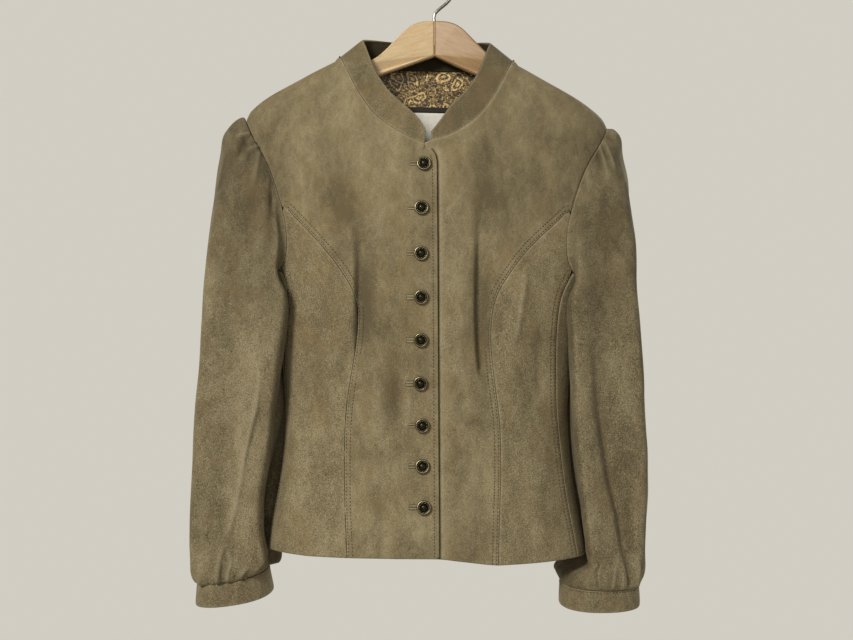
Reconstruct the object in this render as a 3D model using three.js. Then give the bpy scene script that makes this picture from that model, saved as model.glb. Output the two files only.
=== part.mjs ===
// A short fitted suede jacket in the trachten style, hanging buttoned on a wooden hanger.
//
// Millimetres, +Z up, -Y to the front. The origin is where the hook rests on its rod.
// Wearer's right is -X. The body is one family of level sections, front and back, and every
// panel is a grid on it between two seams. The sleeves are rings that start at the armhole.

import * as THREE from 'three';

// ---------------------------------------------------------------- driving dimensions

const cloth = 1.8;            // suede with its backing
const bandCloth = 2.4;        // collar and cuffs, two layers
const seamGap = 0.3;          // between pieces at a seam
const squareness = 2.3;       // exponent of the level sections: 2 is an ellipse
const jacketX = -9;           // the jacket hangs a little to the wearer's right of the hook
const jacketY = -13;          // its shoulder line lies in front of the hook
const shoulderTilt = 0.0222;  // the wearer's left shoulder hangs lower
const tiltTop = -110;
const tiltEnd = -700;         // the tilt has gone at the cuffs
const lapLift = 1.3;          // each front gives way by this where they lap
const lapStart = { right: -46, left: 28 };   // x where that starts, and over what width
const lapRamp = { right: 22, left: 12 };
const overlapTop = 11.5;      // edge of the right front, at its corner and at the hem
const overlapHem = 13.9;
const underlapX = -20;
const lapColumn = 12;         // columns of a front beside its centre edge are no wider
const buttonRadius = 7.8;
const hangerThick = 11;
const wireRadius = 1.8;
const hookRadius = 20;

// ---------------------------------------------------------------- tables

// Level sections of the body: half width, and depth to the front and to the back.
const bodySections = [
  { z: -106, half: 97, front: 22, back: 30 },
  { z: -116, half: 116, front: 27, back: 31 },
  { z: -134, half: 151, front: 33, back: 33 },
  { z: -147, half: 174, front: 37, back: 35 },
  { z: -159, half: 190, front: 40, back: 36 },
  { z: -171, half: 203, front: 43, back: 37 },
  { z: -200, half: 206, front: 49, back: 40 },
  { z: -260, half: 203, front: 58, back: 44 },
  { z: -313, half: 196, front: 62, back: 46 },
  { z: -358, half: 186, front: 62, back: 45 },
  { z: -400, half: 172, front: 59, back: 42 },
  { z: -450, half: 162, front: 55, back: 38 },
  { z: -495, half: 158.5, front: 53, back: 36 },
  { z: -530, half: 160, front: 54, back: 37 },
  { z: -560, half: 163, front: 57, back: 39 },
  { z: -592, half: 168.5, front: 62, back: 42 },
  { z: -617, half: 173.5, front: 66, back: 44 },
  { z: -655, half: 180, front: 71, back: 47 },
];

// Levels of the rows that all the body panels share, so that they meet corner to corner.
const levels = [-106, -112, -122, -134, -147, -159, -171, -186, -199, -206, -214, -232, -254,
  -276, -294, -313, -330, -345, -358, -372, -395, -420, -450, -480, -510, -540, -570, -600,
  -628, -650];
const princessTop = -276;
const underarm = -345;
const hem = -650;
const neckSag = 6;             // the back neckline dips this much at its middle
const neckSagEnd = -150;       // and the rows below it less and less, down to here
const armholeSag = 18;         // the armhole dips this much under the arm
const armholeSagEnd = -470;
const shoulderTip = -171;
const neckFront = -206;
const lapCorner = -214;

// Seams, as distance from the middle at each level.
const neckline = [
  { z: -106, x: 94.3 }, { z: -112, x: 93 }, { z: -122, x: 89 }, { z: -134, x: 83.5 },
  { z: -147, x: 76.5 }, { z: -159, x: 69 }, { z: -171, x: 60 }, { z: -186, x: 43 },
  { z: -199, x: 19 }, { z: -206, x: 1.6 },
];
const armholeFront = [
  { z: -171, x: 203 }, { z: -186, x: 197 }, { z: -199, x: 190 }, { z: -218, x: 178 },
  { z: -237, x: 168.5 }, { z: -259, x: 161 }, { z: -276, x: 156 }, { z: -294, x: 152 },
  { z: -313, x: 150.5 }, { z: -330, x: 152.5 }, { z: -345, x: 158 },
];
const armholeBack = [
  { z: -171, x: 203 }, { z: -199, x: 194 }, { z: -237, x: 180 }, { z: -276, x: 171 },
  { z: -313, x: 166 }, { z: -345, x: 168 },
];
const princessSeam = [
  { z: -276, right: 153, left: 153 }, { z: -294, right: 134, left: 133 },
  { z: -313, right: 116, left: 113 }, { z: -330, right: 101, left: 99 },
  { z: -352, right: 86, left: 84 }, { z: -370, right: 75.5, left: 74 },
  { z: -388, right: 73, left: 69.5 }, { z: -425, right: 76, left: 69 },
  { z: -454, right: 81.5, left: 72.5 }, { z: -486, right: 86.5, left: 77 },
  { z: -520, right: 89, left: 80.5 }, { z: -556, right: 89, left: 80.5 },
  { z: -600, right: 88, left: 78.5 }, { z: -652, right: 85, left: 77 },
];
const sideSeam = [
  { z: -345, x: 158 }, { z: -358, x: 150 }, { z: -372, x: 145 }, { z: -395, x: 142.5 },
  { z: -420, x: 142 }, { z: -480, x: 142 }, { z: -520, x: 145.5 }, { z: -560, x: 150 },
  { z: -592, x: 154 }, { z: -617, x: 160 }, { z: -652, x: 166 },
];
const backSeam = [
  { z: -345, x: 168 }, { z: -358, x: 158 }, { z: -372, x: 150 }, { z: -395, x: 139 },
  { z: -450, x: 116 }, { z: -500, x: 106 }, { z: -560, x: 108 }, { z: -600, x: 112 },
  { z: -652, x: 117 },
];

// How far the hem of the wearer's left half hangs below the right one.
const hemDrop = [
  { z: -14, drop: 0 }, { z: -45, drop: 4 }, { z: -80, drop: 7.5 }, { z: -130, drop: 6 },
  { z: -180, drop: 3.5 },
];

// Soft folds of the fronts, from a start to an end. A negative depth is a ridge.
const frontFolds = [
  { x: 62, z: -285, toX: 57, toZ: -452, width: 11, depth: 5.5 },
  { x: 106, z: -325, toX: 86, toZ: -455, width: 12, depth: -4 },
  { x: 80, z: -345, toX: 71, toZ: -440, width: 9, depth: 3 },
  { x: 40, z: -300, toX: 36, toZ: -470, width: 16, depth: -2.5 },
  { x: 118, z: -470, toX: 112, toZ: -640, width: 16, depth: 2.5 },
  { x: 44, z: -520, toX: 50, toZ: -650, width: 16, depth: 2.5 },
  { x: -64, z: -330, toX: -60, toZ: -470, width: 12, depth: 3.5 },
  { x: -40, z: -400, toX: -78, toZ: -520, width: 14, depth: 2.5 },
  { x: -98, z: -340, toX: -92, toZ: -450, width: 13, depth: -3 },
  { x: -50, z: -520, toX: -46, toZ: -650, width: 17, depth: 2.5 },
  { x: -122, z: -480, toX: -128, toZ: -640, width: 17, depth: 2.5 },
];
const backFolds = [
  { x: -62, z: -330, toX: -56, toZ: -480, width: 16, depth: 3 },
  { x: 58, z: -320, toX: 60, toZ: -470, width: 17, depth: 3.5 },
  { x: 30, z: -500, toX: 44, toZ: -650, width: 19, depth: 3 },
  { x: -36, z: -510, toX: -52, toZ: -650, width: 18, depth: 2.5 },
];

// Collar fold line over each level of the front neckline, then along the back neckline.
const collarFront = [
  { z: -106, x: 70, y: -1, up: -85 }, { z: -112, x: 68, y: -5, up: -91 },
  { z: -122, x: 63.5, y: -11, up: -104 }, { z: -134, x: 58, y: -17, up: -119.5 },
  { z: -147, x: 51, y: -22.5, up: -131.5 }, { z: -159, x: 45, y: -27, up: -140.5 },
  { z: -171, x: 38.5, y: -31, up: -148.5 }, { z: -186, x: 26, y: -36, up: -160 },
];
const collarEnds = {
  right: [{ level: -199, x: 9.5, y: -38.5, up: -173 }, { level: -206, x: 1.4, y: -43, up: -188 }],
  left: [{ level: -199, x: 17, y: -39, up: -176 }, { level: -201.6, x: 5.6, y: -43, up: -191 }],
};
const leftEndLevel = -201.6;  // the left end stops short of the middle
const leftEndX = 5.4;
const collarBack = [
  { part: 1, x: 70.5, y: 4, up: -83.5 }, { part: 5 / 6, x: 64, y: 13, up: -81 },
  { part: 4 / 6, x: 53, y: 19, up: -80 }, { part: 3 / 6, x: 41, y: 23, up: -80 },
  { part: 2 / 6, x: 28, y: 25, up: -80.5 }, { part: 1 / 6, x: 14, y: 26, up: -81 },
  { part: 0, x: 0, y: 26, up: -81 },
];

// Rings of the sleeves: outer and inner point of each ring, and its reach to front and back.
const sleeveRings = {
  right: [
    { out: 213, outZ: -165, in: 184, inZ: -372, front: 50, back: 40 },
    { out: 222, outZ: -174, in: 178, inZ: -388, front: 57, back: 42 },
    { out: 229, outZ: -200, in: 166, inZ: -404, front: 62, back: 42 },
    { out: 236, outZ: -245, in: 157, inZ: -425, front: 65, back: 42 },
    { out: 241.5, outZ: -300, in: 153, inZ: -452, front: 66, back: 40 },
    { out: 247, outZ: -370, in: 156, inZ: -487, front: 65, back: 38 },
    { out: 252, outZ: -440, in: 165, inZ: -520, front: 62, back: 38 },
    { out: 257, outZ: -505, in: 174, inZ: -555, front: 58, back: 38 },
    { out: 260, outZ: -565, in: 182, inZ: -590, front: 54, back: 40 },
    { out: 261.5, outZ: -617, in: 185.5, inZ: -622, front: 52, back: 40 },
    { out: 261, outZ: -652, in: 186, inZ: -645, front: 50, back: 38 },
    { out: 259.5, outZ: -672, in: 182, inZ: -661, front: 46, back: 35 },
    { out: 256.5, outZ: -684, in: 176, inZ: -670, front: 40, back: 32 },
  ],
  left: [
    { out: 209, outZ: -166, in: 184, inZ: -372, front: 50, back: 40 },
    { out: 216, outZ: -180, in: 178, inZ: -388, front: 57, back: 42 },
    { out: 222, outZ: -210, in: 166, inZ: -404, front: 62, back: 42 },
    { out: 226.5, outZ: -262, in: 157, inZ: -425, front: 65, back: 42 },
    { out: 230, outZ: -318, in: 154, inZ: -452, front: 66, back: 40 },
    { out: 236, outZ: -385, in: 156.5, inZ: -487, front: 65, back: 38 },
    { out: 240.5, outZ: -450, in: 159, inZ: -520, front: 62, back: 38 },
    { out: 244, outZ: -515, in: 163, inZ: -555, front: 58, back: 38 },
    { out: 245.5, outZ: -572, in: 167, inZ: -592, front: 54, back: 40 },
    { out: 245.4, outZ: -617, in: 170, inZ: -628, front: 52, back: 40 },
    { out: 244, outZ: -648, in: 172, inZ: -657, front: 50, back: 38 },
    { out: 242.5, outZ: -670, in: 152, inZ: -672, front: 46, back: 35 },
    { out: 238, outZ: -686, in: 149, inZ: -685, front: 40, back: 32 },
  ],
};
// Long folds of the sleeves: place round the ring (0 outer, 0.25 front), from ring to ring.
const sleeveFolds = {
  right: [
    { at: 0.2, drift: 0.03, from: 1, to: 8, width: 0.04, depth: -3 },
    { at: 0.27, drift: -0.02, from: 2, to: 9, width: 0.035, depth: 3 },
    { at: 0.12, drift: 0.02, from: 3, to: 10, width: 0.04, depth: 3 },
    { at: 0.25, drift: -0.06, from: 8, to: 12, width: 0.035, depth: -4 },
    { at: 0.7, drift: 0.02, from: 2, to: 9, width: 0.05, depth: 4 },
    { at: 0.82, drift: -0.03, from: 4, to: 11, width: 0.04, depth: 3 },
  ],
  left: [
    { at: 0.24, drift: -0.02, from: 2, to: 8, width: 0.04, depth: 3.5 },
    { at: 0.19, drift: -0.06, from: 6, to: 12, width: 0.035, depth: -5 },
    { at: 0.13, drift: -0.05, from: 6, to: 12, width: 0.035, depth: 6 },
    { at: 0.3, drift: 0.02, from: 1, to: 7, width: 0.04, depth: -3 },
    { at: 0.72, drift: -0.02, from: 2, to: 9, width: 0.05, depth: 4 },
    { at: 0.85, drift: 0.03, from: 4, to: 11, width: 0.04, depth: 3 },
  ],
};
const cuffRings = {
  right: [
    { out: 256.5, outZ: -684, in: 176, inZ: -670, front: 40, back: 32 },
    { out: 258.5, outZ: -708.5, in: 170.8, inZ: -696, front: 42, back: 33 },
  ],
  left: [
    { out: 238, outZ: -686, in: 149, inZ: -685, front: 40, back: 32 },
    { out: 238.8, outZ: -709.5, in: 147.7, inZ: -710, front: 42, back: 33 },
  ],
};
const underarmLift = 2.4;     // the sleeve's edge above the steep edge under the arm
const armholeGap = 0.55;      // and off the edges of the front and back
const capGather = 2.6;        // height of the gathers at the sleeve head
const cuffGather = 2.4;       // and above the cuff
const sleeveDip = 5;          // the front of a cuff hangs lower than its back
const bodyClearance = 2.5;    // sleeve to body
const hemClearance = 17;      // below the hem a sleeve may swell under it

const buttons = [
  { z: -226.5, x: -2.7 }, { z: -274.5, x: -5.3 }, { z: -323.5, x: -5.7 }, { z: -370.5, x: -5.6 },
  { z: -416.5, x: -5.9 }, { z: -463.5, x: -6.5 }, { z: -509, x: -4.3 }, { z: -552.5, x: -4.3 },
  { z: -596, x: -2.8 },
];

// ---------------------------------------------------------------- reading the tables

// Smooth value of a column at height z, with no overshoot (monotone cubic).
function along(table, column, z) {
  const n = table.length;
  if (z >= table[0].z) return table[0][column];
  if (z <= table[n - 1].z) return table[n - 1][column];
  const slope = (i) => (table[i + 1][column] - table[i][column]) / (table[i + 1].z - table[i].z);
  const tangent = (i) => {
    if (i === 0) return slope(0);
    if (i === n - 1) return slope(n - 2);
    const before = slope(i - 1);
    const after = slope(i);
    return before * after <= 0 ? 0 : (2 * before * after) / (before + after);
  };
  let i = 0;
  while (z < table[i + 1].z) i += 1;
  const step = table[i + 1].z - table[i].z;
  const t = (z - table[i].z) / step;
  const t2 = t * t;
  const t3 = t2 * t;
  return table[i][column] * (2 * t3 - 3 * t2 + 1) + table[i + 1][column] * (3 * t2 - 2 * t3)
    + step * (tangent(i) * (t3 - 2 * t2 + t) + tangent(i + 1) * (t3 - t2));
}

// The same for a list of rows without heights: the row number, with a fraction, is the place.
function between(rows, column, place) {
  return along(rows.map((row, i) => ({ z: -i, value: row[column] })), 'value', -place);
}

const smooth = (t) => THREE.MathUtils.smoothstep(t, 0, 1);
const power = (value, exponent) => Math.sign(value) * Math.abs(value) ** exponent;

// ---------------------------------------------------------------- the body surface

function foldDepth(folds, x, z) {
  let depth = 0;
  for (const fold of folds) {
    const dx = fold.toX - fold.x;
    const dz = fold.toZ - fold.z;
    const t = ((x - fold.x) * dx + (z - fold.z) * dz) / (dx * dx + dz * dz);
    const inside = THREE.MathUtils.clamp(t, 0, 1);
    const away = Math.hypot(x - fold.x - inside * dx, z - fold.z - inside * dz);
    const ends = Math.sin(Math.PI * THREE.MathUtils.clamp(0.12 + 0.76 * t, 0, 1));
    depth += fold.depth * Math.max(ends, 0) * Math.exp(-((away / fold.width) ** 2));
  }
  return depth;
}

// Leans the whole jacket: the wearer's left shoulder hangs lower, the cuffs are level.
function hang(point) {
  const share = THREE.MathUtils.clamp((point.z - tiltEnd) / (tiltTop - tiltEnd), 0, 1);
  point.z -= shoulderTilt * share * point.x;
  return point;
}

// A point of the body. phi is 0 at the centre front, a quarter turn at the side and a half
// turn at the centre back, positive to the wearer's left. lap moves a front out or in.
function bodyPoint(phi, z, lap = 0) {
  const half = along(bodySections, 'half', z);
  const atFront = Math.cos(phi) > 0;
  const depth = along(bodySections, atFront ? 'front' : 'back', z);
  const x = half * power(Math.sin(phi), 2 / squareness);
  let y = -depth * power(Math.cos(phi), 2 / squareness);
  const facing = Math.min(1, Math.abs(Math.cos(phi)) * 2);
  y += (atFront ? 1 : -1) * facing * foldDepth(atFront ? frontFolds : backFolds, x, z);
  y -= lap;
  const fall = smooth((-500 - z) / (-500 - hem));
  const drop = x > 0 ? along(hemDrop, 'drop', -x) : 0;
  const share = atFront ? 1 : x / 180;
  return hang(new THREE.Vector3(x, y, z - (x > 0 ? drop * fall * share : 0)));
}

// phi of the point that lies x from the middle at height z, on the front or the back.
function phiAt(x, z, atFront) {
  const half = along(bodySections, 'half', z);
  const ratio = THREE.MathUtils.clamp(Math.abs(x) / half, 0, 1);
  const turn = Math.asin(ratio ** (squareness / 2));
  return Math.sign(x) * (atFront ? turn : Math.PI - turn);
}

// Distance from the middle of a point of the front.
const frontX = (phi, z) => along(bodySections, 'half', z) * power(Math.sin(phi), 2 / squareness);

// Moves phi along the section by a distance.
function shifted(phi, z, distance) {
  const step = 0.002;
  const reach = bodyPoint(phi, z).distanceTo(bodyPoint(phi + step, z)) / step;
  return phi + distance / Math.max(reach, 20);
}

function bodyNormal(phi, z, lap) {
  const step = 0.01;
  const turn = bodyPoint(phi + step, z, lap).sub(bodyPoint(phi - step, z, lap));
  const rise = bodyPoint(phi, z + 1, lap).sub(bodyPoint(phi, z - 1, lap));
  return turn.cross(rise).normalize();
}

// ---------------------------------------------------------------- closed walls

// A closed wall from a grid of outer points and, for each, the inner point behind it.
// A grid that closes round joins its last column to its first.
function wallGeometry(outer, inner, closed) {
  const rows = outer.length;
  const columns = outer[0].length;
  const positions = [];
  const index = [];
  for (const grid of [outer, inner]) {
    for (const row of grid) for (const p of row) positions.push(p.x, p.y, p.z);
  }
  const at = (side, i, j) => side * rows * columns + i * columns + (j % columns);
  const quad = (a, b, c, d) => index.push(a, b, c, a, c, d);
  const last = closed ? columns : columns - 1;
  for (let i = 0; i < rows - 1; i += 1) {
    for (let j = 0; j < last; j += 1) {
      quad(at(0, i, j), at(0, i + 1, j), at(0, i + 1, j + 1), at(0, i, j + 1));
      quad(at(1, i, j), at(1, i, j + 1), at(1, i + 1, j + 1), at(1, i + 1, j));
    }
  }
  for (let j = 0; j < last; j += 1) {
    quad(at(0, 0, j), at(0, 0, j + 1), at(1, 0, j + 1), at(1, 0, j));
    quad(at(0, rows - 1, j), at(1, rows - 1, j), at(1, rows - 1, j + 1), at(0, rows - 1, j + 1));
  }
  if (!closed) {
    for (let i = 0; i < rows - 1; i += 1) {
      quad(at(0, i, 0), at(1, i, 0), at(1, i + 1, 0), at(0, i + 1, 0));
      quad(at(0, i, last), at(0, i + 1, last), at(1, i + 1, last), at(1, i, last));
    }
  }
  const geometry = new THREE.BufferGeometry();
  geometry.setAttribute('position', new THREE.Float32BufferAttribute(positions, 3));
  geometry.setIndex(index);
  geometry.computeVertexNormals();
  return geometry;
}

// Normals of a grid of points from their neighbours, facing out.
function gridNormals(grid, closed) {
  const rows = grid.length;
  const columns = grid[0].length;
  return grid.map((row, i) => row.map((p, j) => {
    const left = closed ? (j + columns - 1) % columns : Math.max(j - 1, 0);
    const right = closed ? (j + 1) % columns : Math.min(j + 1, columns - 1);
    const turn = grid[i][right].clone().sub(grid[i][left]);
    const rise = grid[Math.max(i - 1, 0)][j].clone().sub(grid[Math.min(i + 1, rows - 1)][j]);
    return turn.cross(rise).normalize();
  }));
}

const inward = (grid, normals, depth) => grid.map((row, i) => row.map(
  (p, j) => p.clone().addScaledVector(normals[i][j], -depth)));

// ---------------------------------------------------------------- body panels

// The grid of a panel: rows at the shared levels, from phi `from(z)` to phi `to(z)`.
// Both ends stop half a seam gap short. dip lowers a row by its place across the panel.
function panelGrid({ top, from, to, columns, lap = () => 0, dip = () => 0 }) {
  const rows = levels.filter((z) => z <= top);
  return rows.map((z) => {
    const start = shifted(from(z), z, seamGap / 2);
    const end = shifted(to(z), z, -seamGap / 2);
    const row = [];
    for (let j = 0; j <= columns; j += 1) {
      const share = j / columns;
      const phi = THREE.MathUtils.lerp(start, end, share);
      row.push({ phi, z: z - dip(share, z, phi), lap: lap(phi, z) });
    }
    return row;
  });
}

// Narrows the columns next to the centre edge of a front, at one end of each row.
function closeToLap(grid, side) {
  return grid.map((row) => {
    const cells = side === 'left' ? row : [...row].reverse();
    const away = sides[side];
    const { z } = cells[0];
    const startX = frontX(cells[0].phi, z);
    const width = Math.abs(frontX(cells[cells.length - 1].phi, z) - startX);
    const step = Math.min(lapColumn, width / (cells.length - 1));
    const near = 4;
    const nearPhi = (j) => phiAt(startX + away * j * step, z, true);
    cells.forEach((cell, j) => {
      if (j === 0 || j === cells.length - 1) return;
      const rest = (j - near) / (cells.length - 1 - near);
      cell.phi = j <= near ? nearPhi(j)
        : THREE.MathUtils.lerp(nearPhi(near), cells[cells.length - 1].phi, rest);
      cell.lap = lapOf[side](cell.phi, z);
    });
    return row;
  });
}

const gridPoints = (grid) => grid.map((row) => row.map((c) => bodyPoint(c.phi, c.z, c.lap)));
const panelNormals = (grid) => grid.map((row) => row.map((c) => bodyNormal(c.phi, c.z, c.lap)));

function panelGeometry(grid) {
  const outer = gridPoints(grid);
  return wallGeometry(outer, inward(outer, panelNormals(grid), cloth), false);
}

const sides = { right: -1, left: 1 };

// Where the two fronts lap, the right one rises and the left one gives way.
const lapOf = {
  right: (phi, z) => lapLift * smooth((frontX(phi, z) - lapStart.right) / lapRamp.right),
  left: (phi, z) => -lapLift * smooth((lapStart.left - frontX(phi, z)) / lapRamp.left),
};

// Centre edge of each front: the neckline, then the lap edge or the underlap edge.
function frontEdge(side, z) {
  if (side === 'right') {
    if (z >= neckFront) return phiAt(-along(neckline, 'x', z), z, true);
    return phiAt(THREE.MathUtils.mapLinear(z, lapCorner, hem, overlapTop, overlapHem), z, true);
  }
  if (z > neckFront) return phiAt(along(neckline, 'x', z), z, true);
  return phiAt(z === neckFront ? -6 : underlapX, z, true);
}

function frontOuterEdge(side, z) {
  const sign = sides[side];
  if (z >= shoulderTip) return sign * Math.PI / 2;
  if (z > princessTop) return phiAt(sign * along(armholeFront, 'x', z), z, true);
  return phiAt(sign * along(princessSeam, side, z), z, true);
}

const sideSeamPhi = (side, z) => phiAt(sides[side] * along(sideSeam, 'x', z), z, true);
const backSeamPhi = (side, z) => phiAt(sides[side] * along(backSeam, 'x', z), z, false);
const underarmDip = (share, z) => armholeSag * Math.sin(Math.PI * share)
  * smooth((z - armholeSagEnd) / (underarm - armholeSagEnd));

// From and to, so that phi always rises across a panel.
const ordered = (side, inner, outer) => (side === 'left'
  ? { from: inner, to: outer } : { from: outer, to: inner });

function frontGrid(side) {
  const edges = ordered(side, (z) => frontEdge(side, z), (z) => frontOuterEdge(side, z));
  return closeToLap(panelGrid({ top: levels[0], columns: 8, lap: lapOf[side], ...edges }), side);
}

function sideFrontGrid(side) {
  const outerEdge = (z) => (z > underarm
    ? phiAt(sides[side] * along(armholeFront, 'x', z), z, true) : sideSeamPhi(side, z));
  const innerEdge = (z) => phiAt(sides[side] * along(princessSeam, side, z), z, true);
  return panelGrid({ top: princessTop, columns: 4, ...ordered(side, innerEdge, outerEdge) });
}

function sideBackGrid(side) {
  const edges = ordered(side, (z) => sideSeamPhi(side, z), (z) => backSeamPhi(side, z));
  return panelGrid({ top: underarm, columns: 6, dip: underarmDip, ...edges });
}

// The back neckline dips to the middle, and the first rows follow it.
const neckDip = (z, phi) => neckSag * Math.cos(Math.abs(phi) - Math.PI) ** 2
  * smooth((z - neckSagEnd) / (levels[0] - neckSagEnd));

function backGrid(side) {
  const sign = sides[side];
  const outerEdge = (z) => {
    if (z >= shoulderTip) return sign * Math.PI / 2;
    if (z > underarm) return phiAt(sign * along(armholeBack, 'x', z), z, false);
    return backSeamPhi(side, z);
  };
  return panelGrid({
    top: levels[0],
    columns: 5,
    dip: (share, z, phi) => neckDip(z, phi),
    ...ordered(side, outerEdge, () => sign * Math.PI),
  });
}

// ---------------------------------------------------------------- sleeves and cuffs

// The armhole as one ring of points, from the shoulder tip down the front, under the arm and
// up the back, with the panels' own corners, moved out of them by the seam gap. Each point
// has the panel's normal, so that the two walls meet edge to edge.
function armholeRing(side) {
  const sign = sides[side];
  const rows = levels.filter((z) => z < shoulderTip && z > underarm);
  const ring = [];
  const push = (phi, z, off = 0) => {
    const normal = bodyNormal(phi, z, 0);
    ring.push({ point: bodyPoint(phi, z).addScaledVector(normal, off), normal });
  };
  push(sign * Math.PI / 2, shoulderTip);
  ring[0].point.add(new THREE.Vector3(sign * 2 * seamGap, 0, -seamGap));
  for (const z of rows) {
    push(shifted(phiAt(sign * along(armholeFront, 'x', z), z, true), z, sign * armholeGap), z);
  }
  const under = sideBackGrid(side)[0];
  const corners = sign > 0 ? under : [...under].reverse();
  for (const corner of corners) push(corner.phi, corner.z + underarmLift, seamGap);
  for (const z of [...rows].reverse()) {
    push(shifted(phiAt(sign * along(armholeBack, 'x', z), z, false), z, -sign * armholeGap), z);
  }
  ring[0].normal = new THREE.Vector3(sign * 0.35, 0, 1).normalize();
  return ring;
}

// Pushes a point out of the body's own section, grown by a clearance.
function clearOfBody(point, clearance) {
  if (point.z < hem - hemClearance) return point;
  const half = along(bodySections, 'half', point.z) + clearance;
  const depth = along(bodySections, point.y < 0 ? 'front' : 'back', point.z) + clearance;
  const inside = Math.abs(point.x / half) ** squareness + Math.abs(point.y / depth) ** squareness;
  if (inside >= 1) return point;
  const grow = inside ** (-1 / squareness);
  point.x *= grow;
  point.y *= grow;
  return point;
}

function ringPoint(rows, place, turn, sign) {
  const value = (column) => between(rows, column, place);
  const c = Math.cos(turn * 2 * Math.PI);
  const s = Math.sin(turn * 2 * Math.PI);
  const across = power(c, 2 / squareness);
  const deep = power(s, 2 / squareness);
  const midX = (value('out') + value('in')) / 2;
  const midZ = (value('outZ') + value('inZ')) / 2;
  return new THREE.Vector3(
    sign * (midX + across * (value('out') - value('in')) / 2),
    -deep * (s > 0 ? value('front') : value('back')),
    midZ + across * (value('outZ') - value('inZ')) / 2,
  );
}

// Swelling of a sleeve: gathers at the head and above the cuff, and its long folds.
function sleeveSwell(side, place, turn, column, lastPlace) {
  const wave = column % 2 === 0 ? 1 : -1;
  const nearTop = Math.max(Math.abs(turn < 0.5 ? turn : turn - 1) * 3.2, 0);
  const head = capGather * Math.max(0, 1 - nearTop) * Math.sin(Math.PI
    * THREE.MathUtils.clamp(place / 4, 0, 1));
  const wrist = cuffGather * smooth((place - lastPlace + 3) / 2)
    * smooth((lastPlace - place) / 0.8);
  let swell = wave * (head + wrist);
  for (const fold of sleeveFolds[side]) {
    const t = (place - fold.from) / (fold.to - fold.from);
    if (t < 0 || t > 1) continue;
    const away = turn - fold.at - fold.drift * t;
    swell -= fold.depth * Math.sin(Math.PI * (0.1 + 0.8 * t)) * Math.exp(-((away / fold.width) ** 2));
  }
  return swell;
}

function sleeveGrid(side) {
  const sign = sides[side];
  const ring = armholeRing(side);
  const armhole = ring.map(({ point }) => point);
  const count = armhole.length;
  const rows = sleeveRings[side];
  const lastPlace = rows.length - 1;
  // Share of the way round at each column, by the armhole's own lengths.
  const lengths = armhole.map((p, j) => p.distanceTo(armhole[(j + 1) % count]));
  const whole = lengths.reduce((sum, length) => sum + length, 0);
  let travelled = 0;
  const turns = lengths.map((length) => {
    const turn = travelled / whole;
    travelled += length;
    return turn;
  });
  const places = [0, 0.6, 1.3, 2, 3.2, 4.4, 5.6, 6.8, 8, 9, 9.75, 10.5, 11, 11.5, 12];
  const grid = [armhole];
  const hold = [0.8, 0.62, 0.42, 0.26, 0.1];
  places.forEach((place, k) => {
    grid.push(turns.map((turn, j) => {
      const point = ringPoint(rows, place, turn, sign);
      const swell = sleeveSwell(side, place, turn, j, lastPlace);
      const centre = ringPoint(rows, place, 0, sign).add(ringPoint(rows, place, 0.5, sign))
        .multiplyScalar(0.5);
      const outward = point.clone().sub(centre).setZ(0).normalize();
      const deep = -point.y / 50;
      point.addScaledVector(outward, swell);
      if (k < hold.length) {
        const first = ringPoint(rows, 0, turn, sign);
        point.addScaledVector(armhole[j].clone().sub(first), hold[k]);
      }
      point.z -= sleeveDip * deep * smooth(place / lastPlace);
      return hang(clearOfBody(point, Math.min(bodyClearance, 0.8 + 0.8 * k)));
    }));
  });
  return { grid, turns, edgeNormals: ring.map(({ normal }) => normal) };
}

// The cuff starts at the sleeve's last ring, a seam gap lower.
function cuffGrid(seam, side, turns) {
  const sign = sides[side];
  const first = seam.map((point) => point.clone().setZ(point.z - seamGap));
  const lower = [0.5, 1].map((place) => turns.map((turn) => {
    const point = ringPoint(cuffRings[side], place, turn, sign);
    point.z += sleeveDip * point.y / 50;
    return hang(point);
  }));
  return [first, ...lower];
}

// A tube through rings of points. The wall at its open ends keeps level, so that two tubes
// meet edge to edge; a first ring with normals of its own takes those.
function tubeGeometry(grid, side, thickness, edgeNormals) {
  const about = (row) => (side === 'left' ? [...row].reverse() : row);
  const outer = grid.map(about);
  const normals = gridNormals(outer, true);
  const level = (normal) => normal.setZ(0).normalize();
  normals[normals.length - 1].forEach(level);
  if (edgeNormals) normals[0] = about(edgeNormals);
  else normals[0].forEach(level);
  return wallGeometry(outer, inward(outer, normals, thickness), true);
}

// ---------------------------------------------------------------- collar and neck pieces

// Stations of the collar from its right end round the back to its left end:
// the seam point below and the fold line above.
function collarStations() {
  const frontStation = (side, row, level, x) => {
    const sign = sides[side];
    const seam = bodyPoint(phiAt(sign * x, level, true), level, 0);
    return { seam, top: hang(new THREE.Vector3(sign * row.x, row.y, row.up)) };
  };
  const half = (side) => {
    const sign = sides[side];
    const ends = [];
    for (const row of collarEnds[side]) {
      const x = row.level === leftEndLevel ? leftEndX : along(neckline, 'x', row.level);
      ends.unshift(frontStation(side, row, row.level, x));
    }
    const rest = [...collarFront].reverse().map(
      (row) => frontStation(side, row, row.z, along(neckline, 'x', row.z)));
    const back = collarBack.map((row) => {
      const phi = sign * (Math.PI - row.part * Math.PI / 2);
      const z = levels[0] - neckDip(levels[0], phi);
      return { seam: bodyPoint(phi, z), top: hang(new THREE.Vector3(sign * row.x, row.y, row.up)) };
    });
    return [...ends, ...rest, ...back];
  };
  const right = half('right');
  const left = half('left').reverse();
  return [...right, ...left.slice(1)];
}

function collarGrid() {
  const stations = collarStations();
  const parts = [0, 0.34, 0.68, 1];
  return parts.map((part) => stations.map(({ seam, top }) => {
    const rise = top.clone().sub(seam);
    const clear = (seamGap + 0.3) / rise.length();
    const share = clear + (1 - clear) * part;
    const point = seam.clone().addScaledVector(rise, share);
    return point;
  })).reverse();
}

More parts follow.
